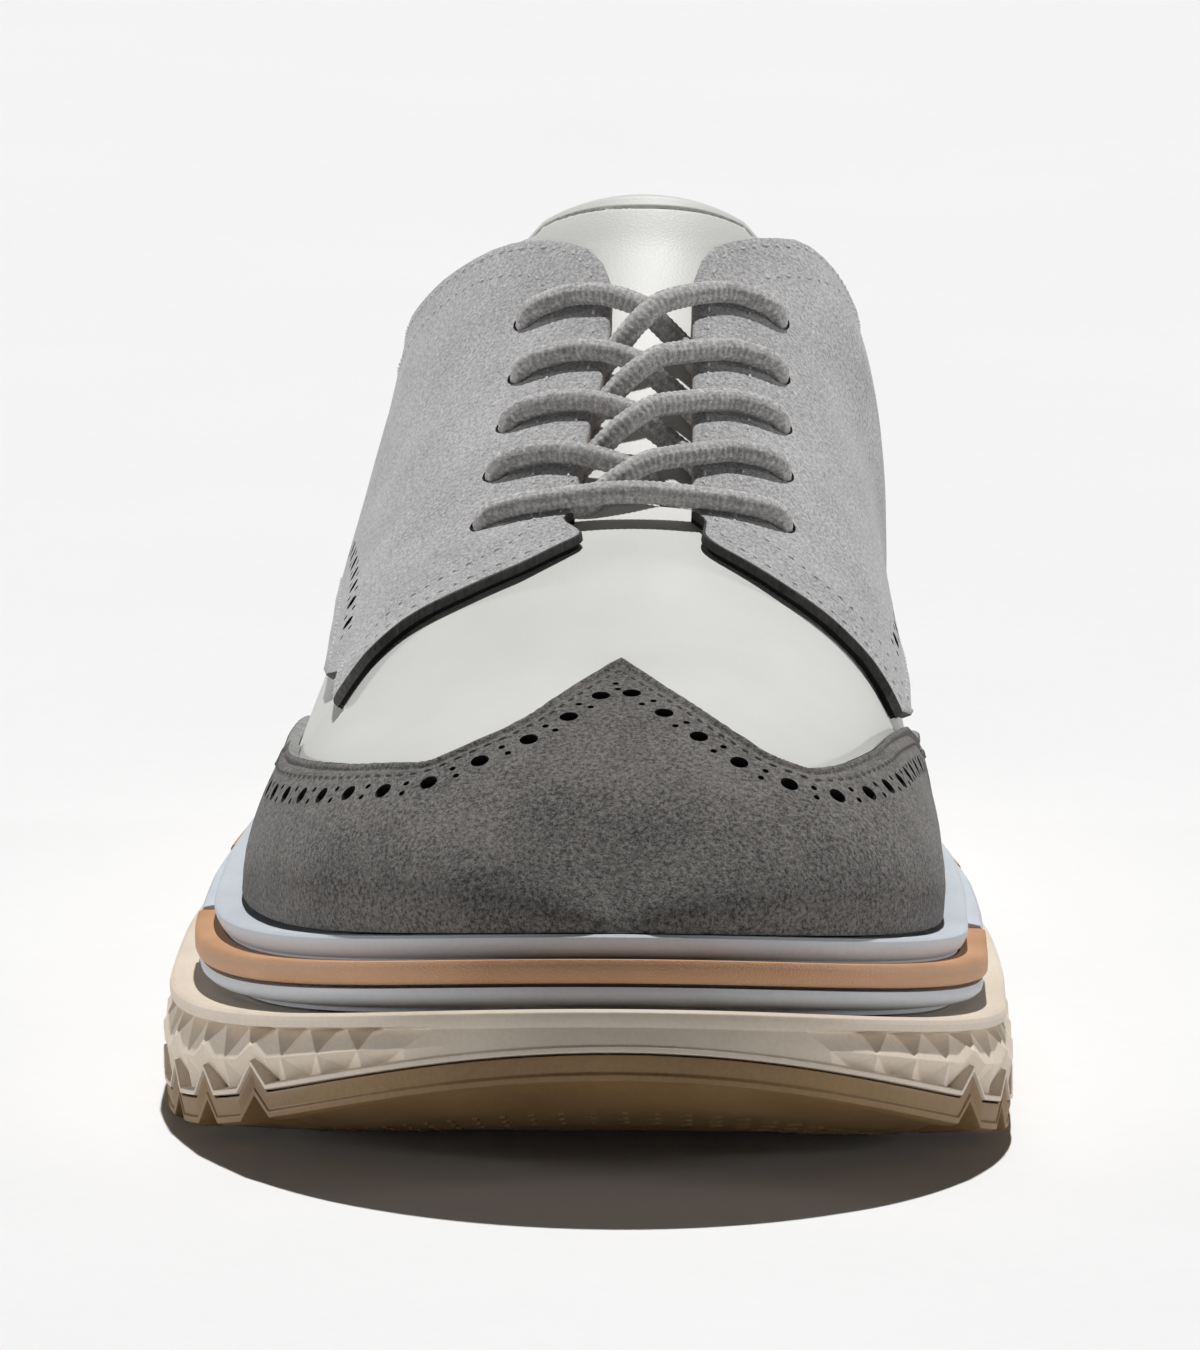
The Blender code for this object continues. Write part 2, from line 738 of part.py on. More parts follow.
def make_wing_cap(made_of, collection):
    up = np.array([0, 0.1, 0.2, 0.27, 0.31, 0.355, 0.415, 0.46, 0.5, 0.56, 0.66, 0.83, 1])
    share = np.linspace(0, 1, 10)
    points = []
    for side, order in ((LATERAL, slice(None)), (MEDIAL, slice(-2, None, -1))):
        end = edge_curve(WING_EDGE[side])(up)[order]
        height = np.repeat(up[order][:, None], len(share), 1)
        inner = np.repeat((share < 0.99)[None], len(end), 0)
        points.append(overlay_seat(side, end[:, None] * share[None], height, inner))
    points = np.concatenate(points)
    points[:, 0] = points[0, 0]
    faces = sheet_faces(points)
    obj = outward_sheet("wing_cap", points.reshape(-1, 3), faces, made_of, collection)
    return shell(obj, OVERLAY, 1)


def quarter_grid(side):
    """Columns from the quarter's lower edge up to its top line, the first along its front edge."""
    rows = np.linspace(0, 1, UPPER_ROWS + 1)
    tip = QUARTER_FRONT[side][0].share
    front = edge_curve(QUARTER_FRONT[side])(tip + (1 - tip) * rows)
    foot_end = rib_along(QUARTER_BASE[side][0].station)
    behind = shell_stations()[0]
    behind = behind[behind > foot_end + 0.012]
    columns = np.concatenate([front[-1:], rib_along(QUARTER_COLUMNS), [foot_end], behind])
    depth = rib_along(QUARTER_FRONT[side][-1].station + QUARTER_FRONT_DEPTH) - front[-1]
    felt = np.clip(1 - (columns - front[-1]) / depth, 0, 1) ** 2
    along = columns[None] + (front - front[-1])[:, None] * felt[None]
    base = QUARTER_BASE[side][::-1]
    foot = through(rib_along([row.station for row in base]), [row.share for row in base])
    low = foot(along[0])
    return along, low[None] + (1 - low)[None] * rows[:, None]


def make_quarter(name, side, made_of, collection, cutters):
    along, up = quarter_grid(side)
    inner = np.ones_like(up)
    inner[0] = up[0] < 0.01
    inner[:, 0] = 0
    points = overlay_seat(side, along, up, inner)
    points[:, -1, 0] += side * SEAT / 2
    faces = sheet_faces(points)
    obj = outward_sheet(name, points.reshape(-1, 3), faces, made_of, collection)
    shell(obj, OVERLAY, 1)
    cutter = eyelet_cutter(name + "_eyelets", side, cutters)
    holes = obj.modifiers.new("eyelets", "BOOLEAN")
    holes.operation = "DIFFERENCE"
    holes.solver = "EXACT"
    holes.object = cutter
    return obj


def facing_place(side, row, inward):
    """A point of the quarter's outer face beside eyelet row, this far in from the facing's edge."""
    station = EYELET_FIRST + (EYELET_LAST - EYELET_FIRST) * row / (EYELETS - 1)
    station += EYELET_BACK[side] * inward / EYELET_IN
    along = rib_along(station)
    fine = np.linspace(0.5, 1, 200)
    rib = upper_point(side, np.full(200, along), fine)
    length = np.concatenate([[0], np.cumsum(np.linalg.norm(np.diff(rib, axis=0), axis=1))])
    up = np.interp(length[-1] - inward, length, fine)
    outer = upper_offset(side, np.array([along]), np.array([up]), OVERLAY_FACE)[0]
    higher = upper_offset(side, np.array([along]), np.array([up]), OVERLAY_FACE + 1)[0]
    return outer, higher - outer


def eyelet_cutter(name, side, cutters):
    solid = bmesh.new()
    for row in range(EYELETS):
        centre, normal = facing_place(side, row, EYELET_IN)
        turn = Vector((0, 0, 1)).rotation_difference(Vector(normal)).to_matrix().to_4x4()
        turn.translation = Vector(to_frame(centre))
        bmesh.ops.create_cone(
            solid,
            cap_ends=True,
            segments=8,
            radius1=EYELET_RADIUS * MM,
            radius2=EYELET_RADIUS * MM,
            depth=8 * MM,
            matrix=turn,
        )
    mesh = bpy.data.meshes.new(name)
    solid.to_mesh(mesh)
    solid.free()
    obj = bpy.data.objects.new(name, mesh)
    obj.display_type = "WIRE"
    obj.hide_render = True
    cutters.objects.link(obj)
    return obj


def make_tongue(made_of, collection):
    columns = 9
    stations = np.concatenate([np.linspace(92, 158, 6), np.linspace(158, 175, 5)[1:]])
    height = through([row.station for row in TONGUE], [row.height for row in TONGUE])
    width = through([row.station for row in TONGUE], [row.half_width for row in TONGUE])
    across = np.linspace(-1, 1, columns)
    points = []
    for station in stations:
        x = across * width(station)
        drop = TONGUE_ARCH - np.sqrt(TONGUE_ARCH**2 - x**2)
        back = np.full(columns, station)
        points.append(np.stack([TONGUE_MIDDLE + x, back, height(station) - drop], -1))
    points = np.array(points)
    faces = sheet_faces(points)
    obj = outward_sheet("tongue", points.reshape(-1, 3), faces, made_of, collection)
    return shell(obj, TONGUE_THICK)


def tube(name, points, made_of, collection):
    """A round cord along points, closed at both ends, as a mesh."""
    curve = bpy.data.curves.new(name, "CURVE")
    curve.dimensions = "3D"
    curve.bevel_depth = LACE_RADIUS * MM
    curve.bevel_resolution = 2
    curve.use_fill_caps = True
    spline = curve.splines.new("POLY")
    spline.points.add(len(points) - 1)
    for place, point in zip(spline.points, to_frame(points)):
        place.co = (*point, 1)
    guide = bpy.data.objects.new(name, curve)
    bpy.context.scene.collection.objects.link(guide)
    bpy.context.view_layer.update()
    mesh = bpy.data.meshes.new_from_object(guide.evaluated_get(bpy.context.evaluated_depsgraph_get()))
    bpy.data.objects.remove(guide, do_unlink=True)
    solid = bmesh.new()
    solid.from_mesh(mesh)
    bmesh.ops.remove_doubles(solid, verts=solid.verts, dist=0.01 * MM)
    bmesh.ops.recalc_face_normals(solid, faces=solid.faces)
    solid.to_mesh(mesh)
    solid.free()
    mesh.materials.clear()
    return finish_mesh(name, mesh, made_of, collection)


def rounded(points, count):
    """The same path with count points, smooth through the given ones."""
    points = np.asarray(points, float)
    length = np.concatenate([[0], np.cumsum(np.linalg.norm(np.diff(points, axis=0), axis=1))])
    place = np.linspace(0, length[-1], count)
    return np.stack([through(length, points[:, axis])(place) for axis in range(3)], -1)


def lace_end(side, row):
    """From inside an eyelet, up and along the facing to its edge."""
    lift = LACE_RADIUS + 1.3
    path = []
    for inward, height in ((EYELET_IN + 0.2, -0.4), (EYELET_IN - 0.3, 1.5), (EYELET_IN - 3, lift), (5, lift)):
        point, normal = facing_place(side, row, inward)
        path.append(point + normal * height)
    return path


def lace_middle(row, lift):
    """The middle of the gap between the facings at this row, raised off them."""
    left, left_normal = facing_place(LATERAL, row, 0.0)
    right, right_normal = facing_place(MEDIAL, row, 0.0)
    square = left_normal + right_normal
    return (left + right) / 2 + square / np.linalg.norm(square) * lift


def lace_dive(side, row):
    """Where a crossing strand goes down beside the other facing's edge, half a row lower."""
    point, normal = facing_place(side, row - 0.7, 0.0)
    middle = lace_middle(row - 0.7, 0.0)
    towards = (middle - point) / np.linalg.norm(middle - point)
    return point + towards * (LACE_RADIUS + 0.4) - normal * 0.6


def make_lace_bar(made_of, collection):
    left = lace_end(LATERAL, 0)
    right = lace_end(MEDIAL, 0)
    path = left + [lace_middle(0, 3.0)] + right[::-1]
    return tube("lace_bar", rounded(path, 14), made_of, collection)


def make_lace_cross(row, made_of, collection, cutters):
    name = f"lace_cross_{row}"
    strands = []
    for side, lift in ((LATERAL, 2.0), (MEDIAL, 3.4)):
        path = lace_end(side, row)
        path.append(lace_middle(row - 0.3, lift))
        path.append(lace_dive(-side, row))
        strands.append(rounded(path, 9))
    over = tube(name, strands[1], made_of, collection)
    under = tube(name + "_under", strands[0], made_of, cutters)
    under.display_type = "WIRE"
    under.hide_render = True
    join = over.modifiers.new("crossing", "BOOLEAN")
    join.operation = "UNION"
    join.solver = "EXACT"
    join.object = under
    return over


def main():
    clear_scene()
    shoe = new_collection("wingtip_shoe")
    cutters = new_collection("cutters")
    gum = material("gum_rubber", (0.13, 0.075, 0.035), 0.6)
    cream = material("cream_rubber", (0.58, 0.50, 0.40), 0.55)
    foam = material("blue_foam", (0.42, 0.46, 0.52), 0.7)
    tan = material("tan_leather", (0.42, 0.22, 0.10), 0.55)
    footbed = material("footbed_fabric", (0.25, 0.25, 0.26), 0.9)
    pale = material("pale_leather", (0.63, 0.63, 0.60), 0.45)
    dark = material("dark_suede", (0.14, 0.13, 0.125), 0.95)
    grey = material("grey_suede", (0.40, 0.395, 0.39), 0.95)
    cord = material("grey_cord", (0.30, 0.28, 0.28), 0.8)
    edge = even_ring(SIDE_STATIONS)
    make_outsole(edge, gum, shoe)
    make_sidewall(edge, cream, shoe)
    make_midsole(foam, shoe)
    front_strip(tan, shoe)
    rear_strip(tan, shoe)
    make_insole(footbed, shoe)
    make_upper(pale, shoe)
    make_wing_cap(dark, shoe)
    make_quarter("quarter_lateral", LATERAL, grey, shoe, cutters)
    make_quarter("quarter_medial", MEDIAL, grey, shoe, cutters)
    make_tongue(pale, shoe)
    make_lace_bar(cord, shoe)
    for row in range(1, EYELETS):
        make_lace_cross(row, cord, shoe, cutters)


main()
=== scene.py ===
"""Looks of a right shoe with a winged toe cap and open lacing, on a layered sole. Sizes in millimetres."""

from collections import namedtuple

import bmesh
import bpy
import numpy as np
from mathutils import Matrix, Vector


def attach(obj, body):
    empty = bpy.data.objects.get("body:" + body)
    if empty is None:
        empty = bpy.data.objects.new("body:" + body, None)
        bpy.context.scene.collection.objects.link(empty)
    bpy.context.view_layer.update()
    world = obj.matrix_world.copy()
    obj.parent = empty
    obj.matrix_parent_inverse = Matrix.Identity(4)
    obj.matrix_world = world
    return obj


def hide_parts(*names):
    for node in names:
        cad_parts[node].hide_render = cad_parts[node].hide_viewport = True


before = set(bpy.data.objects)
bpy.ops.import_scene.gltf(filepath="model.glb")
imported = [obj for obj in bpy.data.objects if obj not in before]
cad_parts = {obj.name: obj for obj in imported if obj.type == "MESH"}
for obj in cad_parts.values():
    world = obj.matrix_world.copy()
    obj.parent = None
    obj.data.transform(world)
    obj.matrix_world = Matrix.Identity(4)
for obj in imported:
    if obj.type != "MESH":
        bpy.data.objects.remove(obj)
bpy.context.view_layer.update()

MM = 0.001
LATERAL, MEDIAL = -1, 1
SIDES = (LATERAL, MEDIAL)

# The sole
SOLE_LENGTH = 308.0
TOE_AXIS, HEEL_AXIS = 6.2, 0.4
TOE_ROUND = {LATERAL: 80.0, MEDIAL: 58.0}
HEEL_ROUND = 44.0
BALL_TOP = 17.9
TOE_LIFT, TOE_LIFT_END = 10.5, 78.0
HEEL_RISE, HEEL_RISE_FROM, HEEL_RISE_TO = 7.0, 120.0, 290.0
FOAM, FOAM_HEEL = 10.8, 4.0
ROCKER, ROCKER_END = 18.3, 75.0
ARCH, ARCH_FROM, ARCH_TO = 4.5, 142.0, 220.0
HEEL_BEVEL, HEEL_BEVEL_FROM = 2.5, 289.0
GUM = 4.4
FOAM_MORE = {LATERAL: 0.0, MEDIAL: -0.9}
SEAT = 0.3
SIDE_STATIONS = 96
LUG_STATIONS = 4
NOTCH = 3.6
PLAIN_TOE, FULL_FACETS = 24.0, 42.0
PLAIN_EDGE, FULL_LUGS = 47.0, 56.0
TREAD_ROWS, TREAD_PITCH = (16.0, 20.0, 24.0), 4.2
TREAD_LOW = 1.4  # how far off the floor the sole is where the tread stops
FRONT_STRIP = {LATERAL: 86.0, MEDIAL: 76.0}
REAR_STRIP = {LATERAL: 135.0, MEDIAL: 125.0}

# The upper
FEATHER_INSET = 10.0
FEATHER_MORE = {LATERAL: 3.2, MEDIAL: 1.9}
FEATHER_SEAT = 0.7
WALL = 1.6
OVERLAY_FACE = 2.2
OVERLAY_FOOT = 0.35
THROAT_STATION, COLLAR_STATION, CREST_STATION = 98.0, 188.0, 161.0
TAB_STATION, CROWN = 105.5, 0.07  # where the vamp ends under the lace, and how far it is arched there
QUARTER_FRONT_DEPTH = 40.0
EYELETS = 5
EYELET_FIRST, EYELET_LAST = 103.3, 148.3
EYELET_IN = 12.6
EYELET_BACK = {LATERAL: 3.0, MEDIAL: 5.0}
EYELET_RADIUS = 2.15
LACE_RADIUS = 1.66
LACE_STEP, BRAID_PITCH = 0.26, 7.2

# The camera stands where the photo's camera stood and looks straight at the shoe
EYE_BACK, EYE_SIDE, EYE_UP, EYE_TILT = 1800.0, 61.5, 20.0, 11.0
AIM_TILT, AIM_TURN = 9.75, 1.96  # degrees down, and towards the lateral side
FOCAL_WIDTHS = 10.94  # focal length, in widths of the picture
SENSOR = 36.0
FLOOR_BACK = 0.66  # share of the light that the floor throws back up at the shoe

Outline = namedtuple("Outline", "station lateral medial")
OUTLINE = [
    Outline(0, 63.9, 52.8),
    Outline(80, 63.9, 52.8),
    Outline(110, 63.3, 51.6),
    Outline(135, 61.4, 48.4),
    Outline(165, 56.8, 43.8),
    Outline(195, 51.0, 41.0),
    Outline(220, 47.4, 40.2),
    Outline(245, 45.8, 40.0),
    Outline(264, 45.2, 40.0),
    Outline(308, 44.6, 39.8),
]

Rib = namedtuple(
    "Rib",
    "station top lateral medial low high lateral_lean medial_lean foot_pull rise top_pull",
)
RIBS = [
    Rib(10, 10, 5.6, 5.6, 37.1, 37.1, 14, 14, 0.40, 0, 0.42),
    Rib(20, 20, 5.2, 5.2, 50.2, 50.2, 14, 14, 0.40, 0, 0.42),
    Rib(36, 36, 4.8, 4.8, 58.6, 58.6, 11, 12, 0.40, 0, 0.42),
    Rib(62, 62, 4.6, 4.6, 65.2, 65.2, 5, 9, 0.38, 0, 0.42),
    Rib(80, 80, 4.8, 4.8, 70.4, 70.4, -1, 6, 0.36, 0, 0.42),
    Rib(93, 94, 5.4, 5.4, 75.1, 75.1, -6, 4, 0.34, 2, 0.42),
    Rib(101, 102, -3.4, 12.7, 76.1, 76.1, -8, 3, 0.33, 7, 0.41),
    Rib(120, 121, -1.8, 12.3, 85.0, 85.0, -11, 2, 0.32, 11, 0.40),
    Rib(142, 143, 0.4, 11.6, 96.0, 96.0, -11, 2, 0.32, 14, 0.38),
    Rib(151, 153, 0.4, 11.4, 101.6, 101.7, -11, 2, 0.32, 18, 0.37),
    Rib(158, 161, -2.8, 13.6, 105.6, 105.8, -11, 2, 0.32, 25, 0.355),
    Rib(164, 166, -7.4, 18.4, 106.2, 106.6, -10.5, 1.5, 0.32, 33, 0.345),
    Rib(170, 171, -12.8, 23.4, 105.3, 106.0, -10, 1, 0.32, 42, 0.33),
    Rib(184, 183, -23.2, 29.6, 98.7, 99.8, -7, 0, 0.32, 62, 0.31),
    Rib(202, 200, -28.6, 32.2, 91.0, 92.4, -3, 0, 0.32, 76, 0.30),
    Rib(228, 225, -30.2, 31.6, 84.6, 86.6, 2, 3, 0.32, 84, 0.30),
    Rib(264, 259, -27.0, 27.0, 86.0, 87.0, 7, 8, 0.33, 86, 0.30),
    Rib(287, 282, -17.6, 17.2, 90.6, 91.0, 10, 10, 0.33, 86, 0.30),
    Rib(295, 288.7, -9.2, 9.4, 92.4, 92.5, 11, 11, 0.33, 86, 0.30),
    Rib(298, 291, 0.5, 0.5, 93.0, 93.0, 12, 12, 0.33, 86, 0.30),
]

Edge = namedtuple("Edge", "share station")
WING_EDGE = {
    LATERAL: [
        Edge(0.00, 186),
        Edge(0.09, 163),
        Edge(0.18, 132),
        Edge(0.25, 102),
        Edge(0.32, 70),
        Edge(0.45, 44),
        Edge(0.58, 36),
        Edge(0.72, 37.5),
        Edge(0.80, 40),
        Edge(0.88, 45.6),
        Edge(1.00, 57.2),
    ],
    MEDIAL: [
        Edge(0.00, 176),
        Edge(0.105, 154),
        Edge(0.215, 126),
        Edge(0.31, 98),
        Edge(0.34, 90),
        Edge(0.41, 70),
        Edge(0.455, 52),
        Edge(0.495, 41),
        Edge(0.55, 36.2),
        Edge(0.62, 35.6),
        Edge(0.72, 38),
        Edge(0.88, 46.6),
        Edge(1.00, 57.2),
    ],
}
QUARTER_FRONT = {
    LATERAL: [
        Edge(0.434, 76),
        Edge(0.47, 81),
        Edge(0.517, 85.5),
        Edge(0.60, 87.5),
        Edge(0.70, 87),
        Edge(0.80, 88),
        Edge(0.88, 91.3),
        Edge(0.95, 96.8),
        Edge(1.00, 102),
    ],
    MEDIAL: [
        Edge(0.36, 92),
        Edge(0.42, 94),
        Edge(0.47, 94.2),
        Edge(0.56, 92.5),
        Edge(0.70, 90.8),
        Edge(0.80, 92),
        Edge(0.89, 95),
        Edge(0.95, 98.4),
        Edge(1.00, 102.6),
    ],
}
QUARTER_BASE = {
    LATERAL: [
        Edge(0.00, 222),
        Edge(0.10, 207),
        Edge(0.23, 178),
        Edge(0.34, 145),
        Edge(0.409, 112),
        Edge(0.434, 76),
    ],
    MEDIAL: [
        Edge(0.00, 214),
        Edge(0.10, 199),
        Edge(0.21, 172),
        Edge(0.30, 138),
        Edge(0.345, 110),
        Edge(0.36, 92),
    ],
}

Tongue = namedtuple("Tongue", "station height half_width")
TONGUE = [
    Tongue(92, 71.2, 20.0),
    Tongue(104, 74.8, 21.0),
    Tongue(121, 82.0, 21.5),
    Tongue(143, 92.8, 21.0),
    Tongue(158, 101.2, 21.0),
    Tongue(166, 106.2, 21.5),
    Tongue(172, 111.2, 19.8),
    Tongue(175, 113.6, 14.5),
]
TONGUE_MIDDLE = 4.0
TONGUE_ARCH = 27.0
TONGUE_THICK = 3.2
FOLD = 3.4  # width of its folded edge

Stitch = namedtuple("Stitch", "length gap radius")
CAP_STITCH = Stitch(1.5, 0.7, 0.24)
QUARTER_STITCH = Stitch(1.3, 0.9, 0.2)

# How far the face of an overlay stands off the shell, by the distance from its edge
Step = namedtuple("Step", "distance lift")
WING_STEPS = [
    Step(0.0, 1.75),
    Step(0.3, 1.95),
    Step(0.7, 1.8),
    Step(1.1, 1.5),
    Step(1.6, 1.75),
    Step(2.2, 1.95),
    Step(8.0, 2.05),
    Step(14.0, 2.2),
]


def through(keys, values):
    """A smooth curve through the rows of a table that never overshoots them."""
    keys = np.asarray(keys, float)
    values = np.asarray(values, float)
    width = np.diff(keys)
    slope = np.diff(values) / width
    before, after = slope[:-1], slope[1:]
    turning = before * after <= 0
    joint = np.where(turning, 1.0, before + after)
    middle = np.where(turning, 0.0, 2 * before * after / joint)
    tangent = np.concatenate([slope[:1], middle, slope[-1:]])

    def at(key):
        key = np.clip(key, keys[0], keys[-1])
        i = np.clip(np.searchsorted(keys, key, side="right") - 1, 0, len(width) - 1)
        t = (key - keys[i]) / width[i]
        rest = 1 - t
        start = values[i] * (1 + 2 * t) + tangent[i] * width[i] * t
        end = values[i + 1] * (1 + 2 * rest) - tangent[i + 1] * width[i] * rest
        return rest * rest * start + t * t * end

    return at


def ease(value, first, last):
    """0 before first, 1 after last, smooth between them."""
    t = np.clip((value - first) / (last - first), 0, 1)
    return t * t * (3 - 2 * t)


REACH = {
    LATERAL: through([row.station for row in OUTLINE], [row.lateral for row in OUTLINE]),
    MEDIAL: through([row.station for row in OUTLINE], [row.medial for row in OUTLINE]),
}


def station_of(along):
    """Distance from the toe tip for a share of the way round one side."""
    return SOLE_LENGTH * (1 - np.cos(np.pi * along)) / 2


def along_of(station):
    share = np.clip(np.asarray(station, float) / SOLE_LENGTH, 0, 1)
    return np.arccos(1 - 2 * share) / np.pi


def outline_of(side, along):
    """The sole's widest outline as sideways place and station. It runs on past either end."""
    side = np.asarray(side) * np.ones_like(along)
    side = np.where((along < 0) | (along > 1), -side, side)
    along = np.abs(along)
    along = np.where(along > 1, 2 - along, along)
    station = station_of(along)
    toe = np.where(side < 0, TOE_ROUND[LATERAL], TOE_ROUND[MEDIAL])
    front = np.clip(1 - station / toe, 0, 1)
    back = np.clip((station - SOLE_LENGTH + HEEL_ROUND) / HEEL_ROUND, 0, 1)
    reach = np.where(side < 0, REACH[LATERAL](station), REACH[MEDIAL](station))
    reach = reach * np.sqrt((1 - front**2) * (1 - back**2))
    axis = TOE_AXIS + (HEEL_AXIS - TOE_AXIS) * station / SOLE_LENGTH
    return axis + side * reach, station


def at_ball(side, station, more):
    """A change of inset that is whole beside the ball and gone at the toe tip and the waist."""
    share = ease(station, 4, 55) * (1 - ease(station, 120, 200))
    return np.where(np.asarray(side) < 0, more[LATERAL], more[MEDIAL]) * share


def inset_of(side, along, inset):
    """A point of the outline moved inwards, square to it."""
    step = 2e-3
    x0, d0 = outline_of(side, along - step)
    x1, d1 = outline_of(side, along + step)
    x, d = outline_of(side, along)
    length = np.hypot(x1 - x0, d1 - d0)
    out_x = side * (d1 - d0) / length
    out_d = -side * (x1 - x0) / length
    return x - inset * out_x, d - inset * out_d, out_x, out_d


def ledge_height(d):
    """Top of the cream frame."""
    toe = np.clip(1 - d / TOE_LIFT_END, 0, 1) ** 2
    return BALL_TOP + TOE_LIFT * toe + HEEL_RISE * ease(d, HEEL_RISE_FROM, HEEL_RISE_TO)


def foam_at(d):
    return FOAM + FOAM_HEEL * ease(d, HEEL_RISE_FROM, HEEL_RISE_TO)


def ground_height(d):
    """Underside of the gum sole: toe rocker, arch and heel bevel."""
    toe = ROCKER * np.clip(1 - d / ROCKER_END, 0, 1) ** 2
    middle = (ARCH_FROM + ARCH_TO) / 2
    arch = ARCH * ease(d, ARCH_FROM, middle) * (1 - ease(d, middle, ARCH_TO))
    heel = np.clip((d - HEEL_BEVEL_FROM) / (SOLE_LENGTH - HEEL_BEVEL_FROM), 0, 1)
    return toe + arch + HEEL_BEVEL * heel**2


def rib_along(station):
    """Share of the way round a side at which the rib stands on this station."""
    inner = SOLE_LENGTH - 2 * FEATHER_INSET
    return along_of((np.asarray(station, float) - FEATHER_INSET) * SOLE_LENGTH / inner)


RIB_KEYS = rib_along([row.station for row in RIBS])
RIB = {name: through(RIB_KEYS, [getattr(row, name) for row in RIBS]) for name in Rib._fields}


def upper_point(side, along, up):
    """The outer face of the lasted shell: up runs from the sole at 0 to the top line at 1."""
    along = np.asarray(along, float)
    inset = FEATHER_INSET + at_ball(side, station_of(along), FEATHER_MORE)
    x, d, out_x, out_d = inset_of(side, along, inset)
    foot = np.stack([x, d, ledge_height(d) + foam_at(d) + FEATHER_SEAT], -1)
    top_x = RIB["lateral"](along) if side == LATERAL else RIB["medial"](along)
    top_z = RIB["low"](along) if side == LATERAL else RIB["high"](along)
    top = np.stack([top_x, RIB["top"](along), top_z], -1)
    chord = np.linalg.norm(top - foot, axis=-1)
    lean = np.radians(RIB["lateral_lean"](along) if side == LATERAL else RIB["medial_lean"](along))
    leave = np.stack([out_x * np.sin(lean), out_d * np.sin(lean), np.cos(lean)], -1)
    inward = (top - foot)[..., :2]
    inward = inward / np.maximum(np.linalg.norm(inward, axis=-1), 1e-6)[..., None]
    rise = np.radians(RIB["rise"](along))
    arrive = np.concatenate([inward * np.cos(rise)[..., None], np.sin(rise)[..., None]], -1)
    second = foot + leave * (RIB["foot_pull"](along) * chord)[..., None]
    third = top - arrive * (RIB["top_pull"](along) * chord)[..., None]
    t = np.asarray(up, float)[..., None]
    rest = 1 - t
    return rest**3 * foot + 3 * rest**2 * t * second + 3 * rest * t**2 * third + t**3 * top


def shell_normal(side, along, up):
    """Which way the shell's outer face looks."""
    step = 4e-3
    low = np.clip(np.asarray(up, float), step, 1 - step)
    near = np.clip(np.asarray(along, float), 2 * step, 1 - 2 * step)
    across = upper_point(side, near, low + step) - upper_point(side, near, low - step)
    onward = upper_point(side, near + step, low) - upper_point(side, near - step, low)
    square = side * np.cross(onward, across)
    return square / np.linalg.norm(square, axis=-1)[..., None]


def off_shell(side, along, up, lift):
    """A point this far off the shell. An overlay stops a little above the shell's own foot."""
    points = upper_point(side, along, up) + shell_normal(side, along, up) * np.asarray(lift)[..., None]
    points[..., 2] += OVERLAY_FOOT * (1 - np.asarray(up)) ** 6
    return points


def middle_x():
    """Half-way between the widest places of the two sides."""
    along = np.linspace(0, 1, 2001)
    return (outline_of(LATERAL, along)[0].min() + outline_of(MEDIAL, along)[0].max()) / 2


MIDDLE_X = middle_x()


def to_frame(points):
    """From sideways place, station and height to the part's own frame, in metres."""
    points = np.asarray(points, float)
    return (points - np.array([MIDDLE_X, SOLE_LENGTH / 2, 0])) * MM


def arc_length(side, along):
    fine = np.linspace(0, 1, 2001)
    x, d = outline_of(side, fine)
    length = np.concatenate([[0], np.cumsum(np.hypot(np.diff(x), np.diff(d)))])
    return np.interp(along, fine, length)


def even_stations(side, count):
    fine = np.linspace(0, 1, 2001)
    length = arc_length(side, fine)
    return np.interp(np.linspace(0, length[-1], count + 1), length, fine)


class Ring:
    """Points round the sole's edge: down the lateral side from toe to heel and back up the medial side."""

    def __init__(self, lateral, medial):
        self.count = len(lateral) - 1
        self.along = np.concatenate([lateral, medial[-2:0:-1]])
        index = np.arange(len(self.along))
        self.side = np.where(index <= self.count, LATERAL, MEDIAL)
        self.step = np.where(index <= self.count, index, 2 * self.count - index)
        self.from_toe = np.where(
            self.side < 0, arc_length(LATERAL, self.along), arc_length(MEDIAL, self.along)
        )

    def points(self, inset, height, more=None):
        if more:
            inset = inset + at_ball(self.side, station_of(self.along), more)
        x, d, _, _ = inset_of(self.side, self.along, inset)
        return np.stack([x, d, height(d)], -1)


def even_ring(count):
    return Ring(even_stations(LATERAL, count), even_stations(MEDIAL, count))


class Form:
    """The points, faces and finishes of one piece while it is made."""

    def __init__(self):
        self.points = []
        self.faces = []
        self.finish = []
        self.edge = []
        self.count = 0

    def add(self, points, faces, finish=0, edge=99.0):
        """Adds faces over points. Edge is the distance of each point from the piece's cut edge; on the lace
        it is the braid's depth instead, which sets the painted shade in its hollows.
        """
        points = np.asarray(points, float).reshape(-1, 3)
        self.points.append(points)
        self.edge.append(np.broadcast_to(np.asarray(edge, float).reshape(-1), len(points)))
        self.faces += [[int(corner) + self.count for corner in face] for face in faces]
        self.finish += [int(kind) for kind in np.broadcast_to(finish, len(faces))]
        self.count += len(points)


